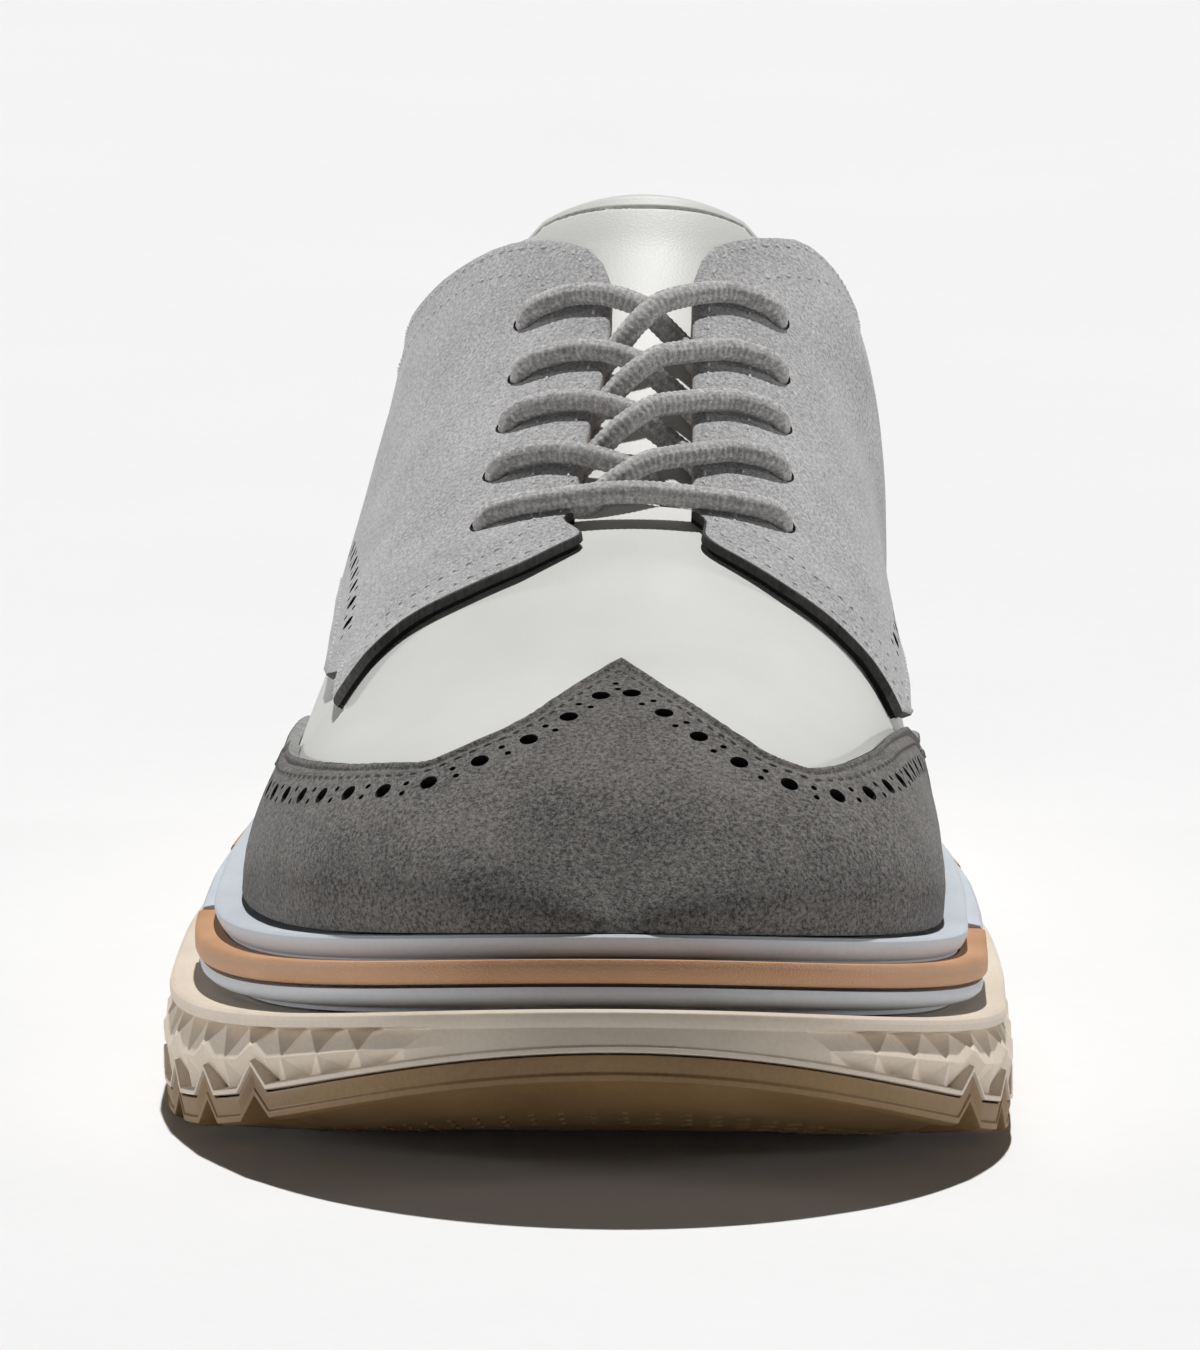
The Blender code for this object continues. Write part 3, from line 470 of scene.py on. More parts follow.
def make_piece(name, form, finishes, stands_for=(), crease=38.0):
    """A welded mesh that rides with the shoe."""
    mesh = bpy.data.meshes.new(name)
    mesh.from_pydata(to_frame(np.concatenate(form.points)).tolist(), [], form.faces)
    edge = mesh.attributes.new("edge", "FLOAT", "POINT")
    edge.data.foreach_set("value", np.concatenate(form.edge).astype(np.float32))
    for finish in finishes:
        mesh.materials.append(finish)
    mesh.polygons.foreach_set("material_index", np.array(form.finish, np.int32))
    solid = bmesh.new()
    solid.from_mesh(mesh)
    bmesh.ops.remove_doubles(solid, verts=solid.verts, dist=0.004 * MM)
    bmesh.ops.dissolve_degenerate(solid, edges=solid.edges, dist=0.0005 * MM)
    bmesh.ops.recalc_face_normals(solid, faces=solid.faces)
    solid.to_mesh(mesh)
    solid.free()
    obj = bpy.data.objects.new(name, mesh)
    bpy.context.scene.collection.objects.link(obj)
    shade(mesh, crease)
    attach(obj, "root")
    if stands_for:
        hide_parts(*stands_for)
    return obj


def shade(mesh, crease):
    mesh.shade_smooth()
    mesh.set_sharp_from_angle(angle=np.radians(crease))


def grid_faces(rows, columns, keep=None):
    """Faces over a grid of points, row by row."""
    faces = []
    for i in range(rows - 1):
        for j in range(columns - 1):
            if keep is None or keep(i, j):
                corner = i * columns + j
                faces.append([corner, corner + 1, corner + columns + 1, corner + columns])
    return faces


def wall(form, outer, inner, faces, finish=0, inner_finish=1, rim_finish=0, edge=99.0):
    """A closed wall between an outer and an inner face, with a rim along every open edge."""
    outer = outer.reshape(-1, 3)
    inner = inner.reshape(-1, 3)
    edge = np.broadcast_to(np.asarray(edge, float).reshape(-1), len(outer))
    _, first, same = np.unique(np.round(outer, 2), axis=0, return_index=True, return_inverse=True)
    same = same.reshape(-1)
    front, kinds = [], []
    for face, kind in zip(faces, np.broadcast_to(finish, len(faces))):
        corners = list(dict.fromkeys(int(same[corner]) for corner in face))
        if len(corners) > 2:
            front.append(corners)
            kinds.append(kind)
    borders = {(a, b) for face in front for a, b in zip(face, face[1:] + face[:1])}
    count = len(first)
    back = [[corner + count for corner in face[::-1]] for face in front]
    rim = [[b, a, a + count, b + count] for a, b in sorted(borders) if (b, a) not in borders]
    kinds += [inner_finish] * len(back) + [rim_finish] * len(rim)
    points = np.concatenate([outer[first], inner[first]])
    form.add(points, front + back + rim, kinds, np.tile(edge[first], 2))


def layers(form, ring, loops, facets=None):
    """A solid from loops stacked from its top middle round the edge to its bottom middle."""
    count = len(ring.along)
    faces = []
    for level in range(len(loops) - 1):
        for i in range(count):
            j = (i + 1) % count
            quad = [level * count + i, (level + 1) * count + i, (level + 1) * count + j, level * count + j]
            faces += facets(level, ring, i, quad) if facets else [quad]
    for base in (0, (len(loops) - 1) * count):
        for i in range(ring.count):
            corners = [i, i + 1, (2 * ring.count - i - 1) % count, (2 * ring.count - i) % count]
            corners = list(dict.fromkeys(base + corner for corner in corners))
            if len(corners) > 2:
                faces.append(corners)
    form.add(np.concatenate(loops), faces)


def evenly(points, spacing, *others):
    """Points at one spacing along a path, with the other values of the path carried over."""
    length = np.concatenate([[0], np.cumsum(np.linalg.norm(np.diff(points, axis=0), axis=1))])
    place = np.arange(0, length[-1], spacing)
    carried = []
    for values in (points, *others):
        carried.append(np.stack([np.interp(place, length, values[:, k]) for k in range(3)], -1))
    return carried if others else carried[0]


def unit(vectors):
    return vectors / np.maximum(np.linalg.norm(vectors, axis=-1), 1e-9)[..., None]


def line_at(points, normals, measure, value):
    """The line over a panel where the measure has this value, one point to a row."""
    line, looks = [], []
    for place, normal, row in zip(points, normals, measure):
        order = np.argsort(row)
        if row[order[-1]] < value or row[order[0]] > value:
            continue
        line.append([np.interp(value, row[order], place[order, k]) for k in range(3)])
        looks.append([np.interp(value, row[order], normal[order, k]) for k in range(3)])
    return np.array(line), unit(np.array(looks))


def sew(form, line, looks, stitch, sunk):
    """A row of stitches along a line, each a short thread that dips into the leather at its ends."""
    step = 0.2
    sides = 6
    points, normals = evenly(line, step, looks)
    run = int(round((stitch.length + stitch.gap) / step))
    size = int(round(stitch.length / step))
    turn = np.linspace(0, 2 * np.pi, sides, endpoint=False)
    swell = np.array([0.35, 0.9, 1.0, 0.9, 0.35])[:, None, None] * stitch.radius
    rise = np.array([-0.5, 0.35, 0.6, 0.35, -0.5])[:, None] * stitch.radius - sunk
    rings = len(swell)
    faces = []
    for i in range(rings - 1):
        for j in range(sides):
            k = (j + 1) % sides
            faces.append([i * sides + j, i * sides + k, (i + 1) * sides + k, (i + 1) * sides + j])
    faces += [list(range(sides))[::-1], [(rings - 1) * sides + j for j in range(sides)]]
    for start in range(0, len(points) - size, run):
        pick = np.linspace(start, start + size, rings).round().astype(int)
        centre = points[pick]
        normal = unit(normals[pick])
        onward = unit(np.gradient(centre, axis=0))
        beside = unit(np.cross(onward, normal))
        centre = centre + normal * rise
        ring = beside[:, None] * np.cos(turn)[None, :, None] + normal[:, None] * np.sin(turn)[None, :, None]
        form.add(centre[:, None] + ring * swell, faces)


def punch(obj, places, finish):
    """Cuts round holes into a piece. A place is a point, the way it looks, a radius and a depth."""
    solid = bmesh.new()
    for point, normal, radius, depth in places:
        turn = Vector((0, 0, 1)).rotation_difference(Vector(normal)).to_matrix().to_4x4()
        turn.translation = Vector(to_frame(point + normal * (1.5 - depth) / 2))
        bmesh.ops.create_cone(
            solid,
            cap_ends=True,
            segments=16,
            radius1=radius * MM,
            radius2=radius * 1.05 * MM,
            depth=(1.5 + depth) * MM,
            matrix=turn,
        )
    mesh = bpy.data.meshes.new("punch")
    solid.to_mesh(mesh)
    solid.free()
    for kept in obj.data.materials:
        mesh.materials.append(kept)
    mesh.polygons.foreach_set("material_index", np.full(len(mesh.polygons), finish, np.int32))
    tool = bpy.data.objects.new("punch", mesh)
    bpy.context.scene.collection.objects.link(tool)
    holes = obj.modifiers.new("holes", "BOOLEAN")
    holes.operation = "DIFFERENCE"
    holes.solver = "EXACT"
    holes.object = tool
    bpy.context.view_layer.update()
    cut = bpy.data.meshes.new_from_object(obj.evaluated_get(bpy.context.evaluated_depsgraph_get()))
    obj.modifiers.clear()
    obj.data = cut
    bpy.data.objects.remove(tool, do_unlink=True)
    return obj


def soften(obj, width, angle=24.0):
    """Takes the sharp edges off a moulded piece."""
    bevel = obj.modifiers.new("soft_edges", "BEVEL")
    bevel.width = width * MM
    bevel.segments = 2
    bevel.limit_method = "ANGLE"
    bevel.angle_limit = np.radians(angle)
    bevel.harden_normals = True
    bpy.context.view_layer.update()
    mesh = bpy.data.meshes.new_from_object(obj.evaluated_get(bpy.context.evaluated_depsgraph_get()))
    obj.modifiers.clear()
    obj.data = mesh
    return obj


# Finishes


def place(tree, kind, inputs=None, **settings):
    """A node with its settings, and its sockets set or linked."""
    made = tree.nodes.new(kind)
    for key, value in settings.items():
        setattr(made, key, value)
    for name, value in (inputs or {}).items():
        socket = made.inputs[name]
        if isinstance(value, bpy.types.NodeSocket):
            tree.links.new(value, socket)
        else:
            socket.default_value = value
    return made


def blank_group(name, values, results):
    group = bpy.data.node_groups.new(name, "ShaderNodeTree")
    for label, value in values.items():
        socket = group.interface.new_socket(label, in_out="INPUT", socket_type="NodeSocketFloat")
        socket.default_value = value
    for label in results:
        group.interface.new_socket(label, in_out="OUTPUT", socket_type="NodeSocketFloat")
    start = group.nodes.new("NodeGroupInput")
    end = group.nodes.new("NodeGroupOutput")
    return group, start.outputs, end.inputs


def noise(tree, spot, scale, detail=3.0, rough=0.55):
    made = place(
        tree, "ShaderNodeTexNoise", {"Vector": spot, "Scale": scale, "Detail": detail, "Roughness": rough}
    )
    return made.outputs["Fac"]


def sums(tree, first, first_share, second, second_share):
    one = place(tree, "ShaderNodeMath", operation="MULTIPLY")
    tree.links.new(first, one.inputs[0])
    one.inputs[1].default_value = first_share
    two = place(tree, "ShaderNodeMath", operation="MULTIPLY_ADD")
    tree.links.new(second, two.inputs[0])
    two.inputs[1].default_value = second_share
    tree.links.new(one.outputs[0], two.inputs[2])
    return two.outputs[0]


def scaled(tree, socket, factor):
    made = place(tree, "ShaderNodeMath", operation="MULTIPLY")
    tree.links.new(socket, made.inputs[0])
    made.inputs[1].default_value = factor
    return made.outputs[0]


def spread(tree, socket, low, high, to_low=0.0, to_high=1.0):
    inputs = {"Value": socket, "From Min": low, "From Max": high, "To Min": to_low, "To Max": to_high}
    return place(tree, "ShaderNodeMapRange", inputs).outputs["Result"]


def nap_group():
    """Suede: short fibres, tufts of them, and patches brushed another way."""
    tree, given, result = blank_group("suede_nap", {"Scale": 1800.0}, ["Height", "Shade"])
    spot = place(tree, "ShaderNodeTexCoord").outputs["Object"]
    fibre = noise(tree, spot, given["Scale"], 2.0, 0.6)
    tuft = noise(tree, spot, scaled(tree, given["Scale"], 0.45), 2.0, 0.5)
    patch = noise(tree, spot, scaled(tree, given["Scale"], 0.02), 3.0, 0.5)
    height = sums(tree, fibre, 0.5, tuft, 0.5)
    tree.links.new(height, result["Height"])
    mixed = sums(tree, height, 0.86, patch, 0.14)
    tree.links.new(spread(tree, mixed, 0.38, 0.62), result["Shade"])
    return tree


def grain_group():
    """Smooth leather: a fine pebble of pores and slow changes of tone."""
    tree, given, result = blank_group("leather_grain", {"Scale": 1100.0}, ["Height", "Shade"])
    spot = place(tree, "ShaderNodeTexCoord").outputs["Object"]
    cells = place(
        tree,
        "ShaderNodeTexVoronoi",
        {"Vector": spot, "Scale": given["Scale"]},
        feature="DISTANCE_TO_EDGE",
    )
    pore = spread(tree, cells.outputs["Distance"], 0.0, 0.25)
    fine = noise(tree, spot, scaled(tree, given["Scale"], 2.2), 2.0)
    tree.links.new(sums(tree, pore, 0.6, fine, 0.4), result["Height"])
    slow = noise(tree, spot, scaled(tree, given["Scale"], 0.02), 3.0)
    tree.links.new(spread(tree, sums(tree, slow, 0.75, fine, 0.25), 0.34, 0.66), result["Shade"])
    return tree


def moulded_group():
    """Rubber and foam: a fine matt skin with faint mottling."""
    tree, given, result = blank_group("moulded_skin", {"Scale": 1500.0}, ["Height", "Shade"])
    spot = place(tree, "ShaderNodeTexCoord").outputs["Object"]
    skin = noise(tree, spot, given["Scale"], 3.0, 0.6)
    cloud = noise(tree, spot, scaled(tree, given["Scale"], 0.03), 4.0, 0.6)
    tree.links.new(skin, result["Height"])
    tree.links.new(spread(tree, sums(tree, skin, 0.4, cloud, 0.6), 0.36, 0.64), result["Shade"])
    return tree


def fibre_group():
    """A cut leather edge: short upright fibres and darker flecks."""
    tree, given, result = blank_group("cut_fibre", {"Scale": 1400.0}, ["Height", "Shade"])
    spot = place(tree, "ShaderNodeTexCoord").outputs["Object"]
    drawn = place(tree, "ShaderNodeMapping", {"Vector": spot, "Scale": (1.0, 1.0, 0.22)}).outputs["Vector"]
    lines = noise(tree, drawn, given["Scale"], 3.0, 0.6)
    fleck = noise(tree, spot, scaled(tree, given["Scale"], 0.12), 4.0, 0.65)
    tree.links.new(sums(tree, lines, 0.7, fleck, 0.3), result["Height"])
    tree.links.new(spread(tree, sums(tree, lines, 0.5, fleck, 0.5), 0.36, 0.64), result["Shade"])
    return tree


def edge_group():
    """How near a point is to the cut edge of its panel, a little ragged, as a mask. Only the lace uses it:
    there the edge value is the braid's depth, and the mask marks the hollows for painted shade.
    """
    tree, given, result = blank_group("painted_shade_mask", {"Width": 2.0}, ["Mask"])
    spot = place(tree, "ShaderNodeTexCoord").outputs["Object"]
    distance = place(tree, "ShaderNodeAttribute", attribute_name="edge").outputs["Fac"]
    ragged = sums(tree, noise(tree, spot, 900.0), 1.2, distance, 1.0)
    inputs = {"Value": ragged, "From Min": 0.5, "From Max": given["Width"], "To Min": 1.0, "To Max": 0.0}
    tree.links.new(place(tree, "ShaderNodeMapRange", inputs).outputs["Result"], result["Mask"])
    return tree


NAP = nap_group()
GRAIN = grain_group()
MOULDED = moulded_group()
FIBRE = fibre_group()
PAINTED_SHADE_MASK = edge_group()


def between(tree, share, first, second):
    """A colour from first to second by a share. Each is a colour or what another node puts out."""
    made = place(tree, "ShaderNodeMix", data_type="RGBA")
    tree.links.new(share, made.inputs["Factor"])
    for socket, colour in ((made.inputs[6], first), (made.inputs[7], second)):
        if isinstance(colour, bpy.types.NodeSocket):
            tree.links.new(colour, socket)
        else:
            socket.default_value = (*colour, 1)
    return made.outputs[2]


def finish(name, light, deep, texture, scale, rough, bump, depth, sheen=0.0, rim=None, painted_shade_width=0.0):
    """A material. Its tone runs from deep to light with the texture, and its roughness and bump follow."""
    made = bpy.data.materials.new(name)
    made.use_nodes = True
    tree = made.node_tree
    shader = tree.nodes["Principled BSDF"]
    surface = place(tree, "ShaderNodeGroup", node_tree=texture)
    surface.inputs["Scale"].default_value = scale
    colour = between(tree, surface.outputs["Shade"], deep, light)
    # rim is a painted shade colour, mixed in where the mask is high: on the lace it darkens the hollows of
    # the braid.
    if rim:
        near = place(tree, "ShaderNodeGroup", node_tree=PAINTED_SHADE_MASK)
        near.inputs["Width"].default_value = painted_shade_width
        colour = between(tree, near.outputs["Mask"], colour, rim)
    tree.links.new(colour, shader.inputs["Base Color"])
    tree.links.new(spread(tree, surface.outputs["Shade"], 0, 1, *rough), shader.inputs["Roughness"])
    relief = place(
        tree,
        "ShaderNodeBump",
        {"Strength": bump, "Distance": depth * MM, "Height": surface.outputs["Height"]},
    )
    tree.links.new(relief.outputs["Normal"], shader.inputs["Normal"])
    shader.inputs["Sheen Weight"].default_value = sheen
    shader.inputs["Sheen Roughness"].default_value = 0.5
    return made


GREY_SUEDE = finish(
    "grey_suede", (0.58, 0.572, 0.574), (0.23, 0.226, 0.228), NAP, 4200, (0.9, 1.0), 0.7, 0.25, sheen=0.15
)
DARK_SUEDE = finish(
    "dark_suede", (0.24, 0.226, 0.212), (0.026, 0.025, 0.024), NAP, 3800, (0.9, 1.0), 0.8, 0.3, sheen=0.08
)
CAP_EDGE = finish(
    "cap_edge", (0.33, 0.33, 0.32), (0.2, 0.2, 0.195), FIBRE, 1600, (0.9, 1.0), 0.6, 0.3
)
RAW_EDGE = finish(
    "raw_edge", (0.085, 0.082, 0.08), (0.022, 0.021, 0.02), FIBRE, 1800, (0.8, 0.95), 0.8, 0.35
)
FACING_EDGE = finish(
    "facing_edge", (0.5, 0.42, 0.38), (0.28, 0.225, 0.2), FIBRE, 1800, (0.85, 1.0), 0.7, 0.3
)
# Near-black painted shade: it stands for the shade inside the punched holes and eyelets, and in the
# set-back strip at the foot of the quarters' cut edges.
PAINTED_SHADE_GAP = finish(
    "painted_shade_gap", (0.014, 0.013, 0.013), (0.006, 0.006, 0.006), FIBRE, 1500, (0.9, 1.0), 0.5, 0.2
)
PALE_LEATHER = finish(
    "pale_leather", (0.71, 0.71, 0.685), (0.655, 0.655, 0.63), GRAIN, 1500, (0.42, 0.52), 0.12, 0.12
)
LINING = finish("lining", (0.46, 0.44, 0.41), (0.37, 0.355, 0.33), GRAIN, 1100, (0.55, 0.7), 0.3, 0.2)
TAN_LEATHER = finish(
    "tan_leather", (0.62, 0.345, 0.19), (0.47, 0.25, 0.13), GRAIN, 1900, (0.5, 0.65), 0.3, 0.2
)
BLUE_FOAM = finish(
    "blue_foam", (0.6, 0.635, 0.685), (0.53, 0.56, 0.605), MOULDED, 1200, (0.5, 0.65), 0.25, 0.15
)
CREAM_RUBBER = finish(
    "cream_rubber", (0.77, 0.665, 0.55), (0.67, 0.575, 0.47), MOULDED, 1500, (0.5, 0.65), 0.3, 0.15
)
GUM_RUBBER = finish(
    "gum_rubber", (0.28, 0.168, 0.068), (0.19, 0.11, 0.042), MOULDED, 1300, (0.45, 0.65), 0.35, 0.2
)
FOOTBED = finish("footbed_fabric", (0.28, 0.28, 0.29), (0.17, 0.17, 0.18), NAP, 1300, (0.9, 1.0), 0.8, 0.35)
# The rim colour is painted shade in the hollows of the braid.
LACE_CORD = finish(
    "grey_cord",
    (0.7, 0.68, 0.67),
    (0.26, 0.25, 0.245),
    NAP,
    3000,
    (0.6, 0.85),
    0.5,
    0.2,
    rim=(0.3, 0.288, 0.283),
    painted_shade_width=2.4,
)
GREY_THREAD = finish(
    "grey_thread", (0.66, 0.65, 0.64), (0.5, 0.495, 0.485), FIBRE, 3000, (0.6, 0.8), 0.4, 0.1
)
DARK_THREAD = finish(
    "dark_thread", (0.1, 0.096, 0.093), (0.05, 0.048, 0.046), FIBRE, 3000, (0.6, 0.8), 0.4, 0.1
)


# The sole


def lug_lift(ring):
    """How far the toothed lower edge is notched at each point of the edge."""
    full = ease(ring.from_toe, PLAIN_EDGE, FULL_LUGS)
    return np.where(ring.step % LUG_STATIONS == 0, NOTCH, 0.0) * full


def facet_cuts(level, ring, i, quad):
    """Cuts the quads of the faceted side so that ridges cross at half height."""
    top_a, low_a, low_b, top_b = quad
    if level not in (5, 6):
        return [quad]
    crossing_first = ring.step[i] % 2 == 0
    if (level == 5) == crossing_first:
        return [[top_a, low_a, top_b], [low_a, low_b, top_b]]
    return [[top_a, low_a, low_b], [top_a, low_b, top_b]]


def at(height):
    """Heights given point by point, in the form that a ring asks for."""
    return lambda d: height


def make_frame():
    """The cream frame: a plain rounded ledge, and a side of crossing ridges over a toothed edge."""
    ring = even_ring(SIDE_STATIONS)
    deep = ease(ring.from_toe, PLAIN_TOE, FULL_FACETS)
    crossing = np.where(ring.step % 2 == 0, 1.0, 0.0)
    lift = lug_lift(ring)
    ledge = ledge_height(ring.points(0.0, ledge_height)[:, 1])
    foot = ring.points(0.0, ground_height)[:, 2] + GUM + lift
    high = ledge - 2.5

    loops = [
        ring.points(2.4, ledge_height),
        ring.points(1.7, at(ledge - 0.1)),
        ring.points(1.15, at(ledge - 0.5)),
        ring.points(1.0, at(ledge - 1.1)),
        ring.points(1.0 + 0.1 * deep, at(ledge - 2.0)),
        ring.points(1.1 + (1.1 + 2.2 * crossing) * deep, at(high)),
        ring.points(0.6 - 0.5 * deep, at(0.5 * high + 0.5 * foot + 0.3 * deep)),
        ring.points(0.5 + (1.9 - 1.5 * crossing) * deep, at(foot + 1.0)),
        ring.points(0.15 * np.ones_like(deep), at(foot + 0.75)),
        ring.points(0.1 * np.ones_like(deep), at(foot + 0.1)),
        ring.points(0.6 * np.ones_like(deep), at(foot)),
        ring.points(11.0, lambda d: ground_height(d) + GUM),
    ]
    form = Form()
    layers(form, ring, loops, facets=facet_cuts)
    obj = make_piece("cream_frame", form, [CREAM_RUBBER], ["sidewall"], crease=16)
    return soften(obj, 0.16)


def make_gum_sole():
    ring = even_ring(SIDE_STATIONS)
    lift = lug_lift(ring)
    ground = ring.points(0.0, ground_height)[:, 2]

    loops = [
        ring.points(11.0, lambda d: ground_height(d) + GUM - SEAT),
        ring.points(0.5, at(ground + GUM + lift - SEAT)),
        ring.points(0.45, at(ground + GUM + lift - 1.0)),
        ring.points(0.9, at(ground + 1.7 + 0.95 * lift)),
        ring.points(0.6, at(ground + 1.3 + 0.95 * lift)),
        ring.points(0.75, at(ground + 0.55 + 0.92 * lift)),
        ring.points(1.9, at(ground + 0.1 + 0.9 * lift)),
        ring.points(5.0, at(ground + 0.5 * lift)),
        ring.points(10.0, ground_height),
    ]
    form = Form()
    layers(form, ring, loops)
    tread(form)
    obj = make_piece("gum_sole", form, [GUM_RUBBER], ["outsole"], crease=20)
    return soften(obj, 0.14)


def tread(form):
    """Small raised bars under the toe, where the sole curves off the floor."""
    half_width = 0.9
    half_length = 1.4
    slant = 0.55
    root_and_face = ((0.3, 0.6), (-0.25, 0.45))  # height off the sole, and share of the bar's size
    for inset in TREAD_ROWS:
        for side in SIDES:
            fine = np.linspace(0, 0.34, 400)
            x, d, out_x, out_d = inset_of(side, fine, inset)
            points = np.stack([x, d, ground_height(d)], -1)
            outward = np.stack([out_x, out_d, 0 * out_d], -1)
            spots, ways = evenly(points, TREAD_PITCH, outward)
            for spot, way in zip(spots, unit(ways)):
                if spot[2] < TREAD_LOW:
                    continue
                beside = np.array([-way[1], way[0], 0])
                corners = []
                for down, grow in root_and_face:
                    for across, onward in ((-1, -1), (1, -1), (1, 1), (-1, 1)):
                        lean = slant * onward
                        offset = beside * (half_width * across + lean) * grow
                        offset += way * half_length * onward * grow
                        height = ground_height(spot[1] + offset[1]) + down
                        corners.append([spot[0] + offset[0], spot[1] + offset[1], height])
                faces = [[0, 1, 2, 3], [7, 6, 5, 4]]
                faces += [[k, k + 4, (k + 1) % 4 + 4, (k + 1) % 4] for k in range(4)]
                form.add(corners, faces)


def strip_end(side, ends, margin):
    """Share of the way round at which a strip's seat starts or stops, this far past the strip's end."""
    fine = np.linspace(0, 1, 4001)
    length = arc_length(side, fine)
    return np.interp(np.interp(along_of(ends[side]), fine, length) + margin, length, fine)


def foam_level(share):
    return lambda d: ledge_height(d) + SEAT + share * (foam_at(d) - SEAT)


def make_foam():
    """The foam layer: an undercut foot, a rounded lower band, seats for the tan strips, a rounded top."""
    stations = {}
    for side in SIDES:
        marks = [strip_end(side, FRONT_STRIP, margin) for margin in (0.1, 0.5, 1.2)]
        marks += [strip_end(side, REAR_STRIP, -margin) for margin in (1.2, 0.5, 0.1)]
        plain = np.linspace(0, 1, 141)
        plain = 0.5 * plain + 0.5 * even_stations(side, 140)
        clear = np.abs(plain[:, None] - np.array(marks)[None]).min(axis=1) > 0.0024
        stations[side] = np.sort(np.concatenate([plain[clear], marks]))
    fewest = min(len(stations[side]) for side in SIDES)
    for side in SIDES:
        while len(stations[side]) > fewest:
            stations[side] = np.delete(stations[side], 4)
    ring = Ring(stations[LATERAL], stations[MEDIAL])
    grooved = np.zeros(len(ring.along))
    for side in SIDES:
        front = strip_end(side, FRONT_STRIP, 0.3)
        rear = strip_end(side, REAR_STRIP, -0.3)
        inside = (ring.along < front) | (ring.along > rear)
        grooved = np.where((ring.side == side) & inside, 1.0, grooved)
    profile = [
        (9.4, 0.0, 1.0),
        (8.3, 0.0, 1.0),
        (7.55, 0.0, 0.985),
        (7.2, 0.0, 0.945),
        (7.2, 0.0, 0.9),
        (7.35, 0.0, 0.85),
        (7.65, 0.0, 0.79),
        (7.8, 0.2, 0.735),
        (5.4, 3.2, 0.69),
        (4.9, 3.7, 0.62),
        (4.8, 3.8, 0.5),
        (4.8, 3.8, 0.38),
        (5.0, 3.6, 0.325),
        (5.3, 0.0, 0.3),
        (5.1, 0.0, 0.24),
        (5.3, 0.0, 0.165),
        (6.0, 0.0, 0.11),
        (7.4, 0.0, 0.075),
        (9.2, 0.0, 0.06),
        (9.4, 0.0, 0.0),
    ]
    loops = []
    for inset, groove, share in profile:
        loops.append(ring.points(inset + groove * grooved, foam_level(share), FOAM_MORE))
    form = Form()
    layers(form, ring, loops)
    return make_piece("foam_layer", form, [BLUE_FOAM], ["midsole"], crease=40)


def make_strip(name, node, lateral, medial):
    """A tan strip swept in its seat, with rounded corners and cut ends."""
    side = np.concatenate([np.full(len(lateral), LATERAL), np.full(len(medial), MEDIAL)])
    along = np.concatenate([lateral, medial])
    profile = [
        (8.3, 0.35),
        (5.3, 0.35),
        (4.75, 0.37),
        (4.55, 0.4),
        (4.5, 0.5),
        (4.55, 0.61),
        (4.75, 0.645),
        (5.3, 0.66),
        (8.3, 0.665),
    ]
    size = len(profile)
    loops = []
    for inset, share in profile:
        x, d, _, _ = inset_of(side, along, inset + at_ball(side, station_of(along), FOAM_MORE))
        loops.append(np.stack([x, d, foam_level(share)(d)], -1))
    faces = []
    for i in range(len(along) - 1):
        for k in range(size):
            a, b = i * size + k, i * size + (k + 1) % size
            faces.append([a, b, b + size, a + size])
    last = (len(along) - 1) * size
    faces += [list(range(size))[::-1], [last + k for k in range(size)]]
    form = Form()
    form.add(np.stack(loops, 1), faces)
    return make_piece(name, form, [TAN_LEATHER], [node], crease=50)


def make_strips():
    front = {side: strip_end(side, FRONT_STRIP, 0.0) for side in SIDES}
    rear = {side: strip_end(side, REAR_STRIP, 0.0) for side in SIDES}
    make_strip(
        "tan_strip_front",
        "welt_front",
        np.linspace(front[LATERAL], 0, 90),
        np.linspace(0, front[MEDIAL], 90)[1:],
    )
    make_strip(
        "tan_strip_rear",
        "welt_rear",
        np.linspace(rear[LATERAL], 1, 110),
        np.linspace(1, rear[MEDIAL], 110)[1:],
    )


def make_footbed():
    ring = even_ring(90)
    inset = FEATHER_INSET + WALL + 1.6
    thick = 3.0

    def bed(height):
        return lambda d: ledge_height(d) + foam_at(d) + SEAT + height

    loops = [
        ring.points(inset + 14.0, bed(thick - 0.9), FEATHER_MORE),
        ring.points(inset + 6.0, bed(thick - 0.5), FEATHER_MORE),
        ring.points(inset + 2.0, bed(thick), FEATHER_MORE),
        ring.points(inset + 0.6, bed(thick - 0.2), FEATHER_MORE),
        ring.points(inset, bed(thick - 0.9), FEATHER_MORE),
        ring.points(inset, bed(0.0), FEATHER_MORE),
    ]
    form = Form()
    layers(form, ring, loops)
    return make_piece("footbed", form, [FOOTBED], ["insole"])


# The upper


def bridge(faces, steps):
    """Carries the two sides of the shell on from their top lines to a low crown where they meet."""
    tops = [face[:, -1] for face in faces]
    middle = (tops[0] + tops[1]) / 2
    half = np.linalg.norm(tops[1] - tops[0], axis=-1)[:, None] / 2
    joined = []
    for face, top in zip(faces, tops):
        added = []
        for share in np.linspace(0, 1, steps + 1)[1:]:
            crown = CROWN * half * (1 - (1 - share) ** 2) * np.array([0, 0, 1])
            added.append(top + (middle - top) * share + crown)
        joined.append(np.concatenate([face, np.stack(added, 1)], 1))
    return joined


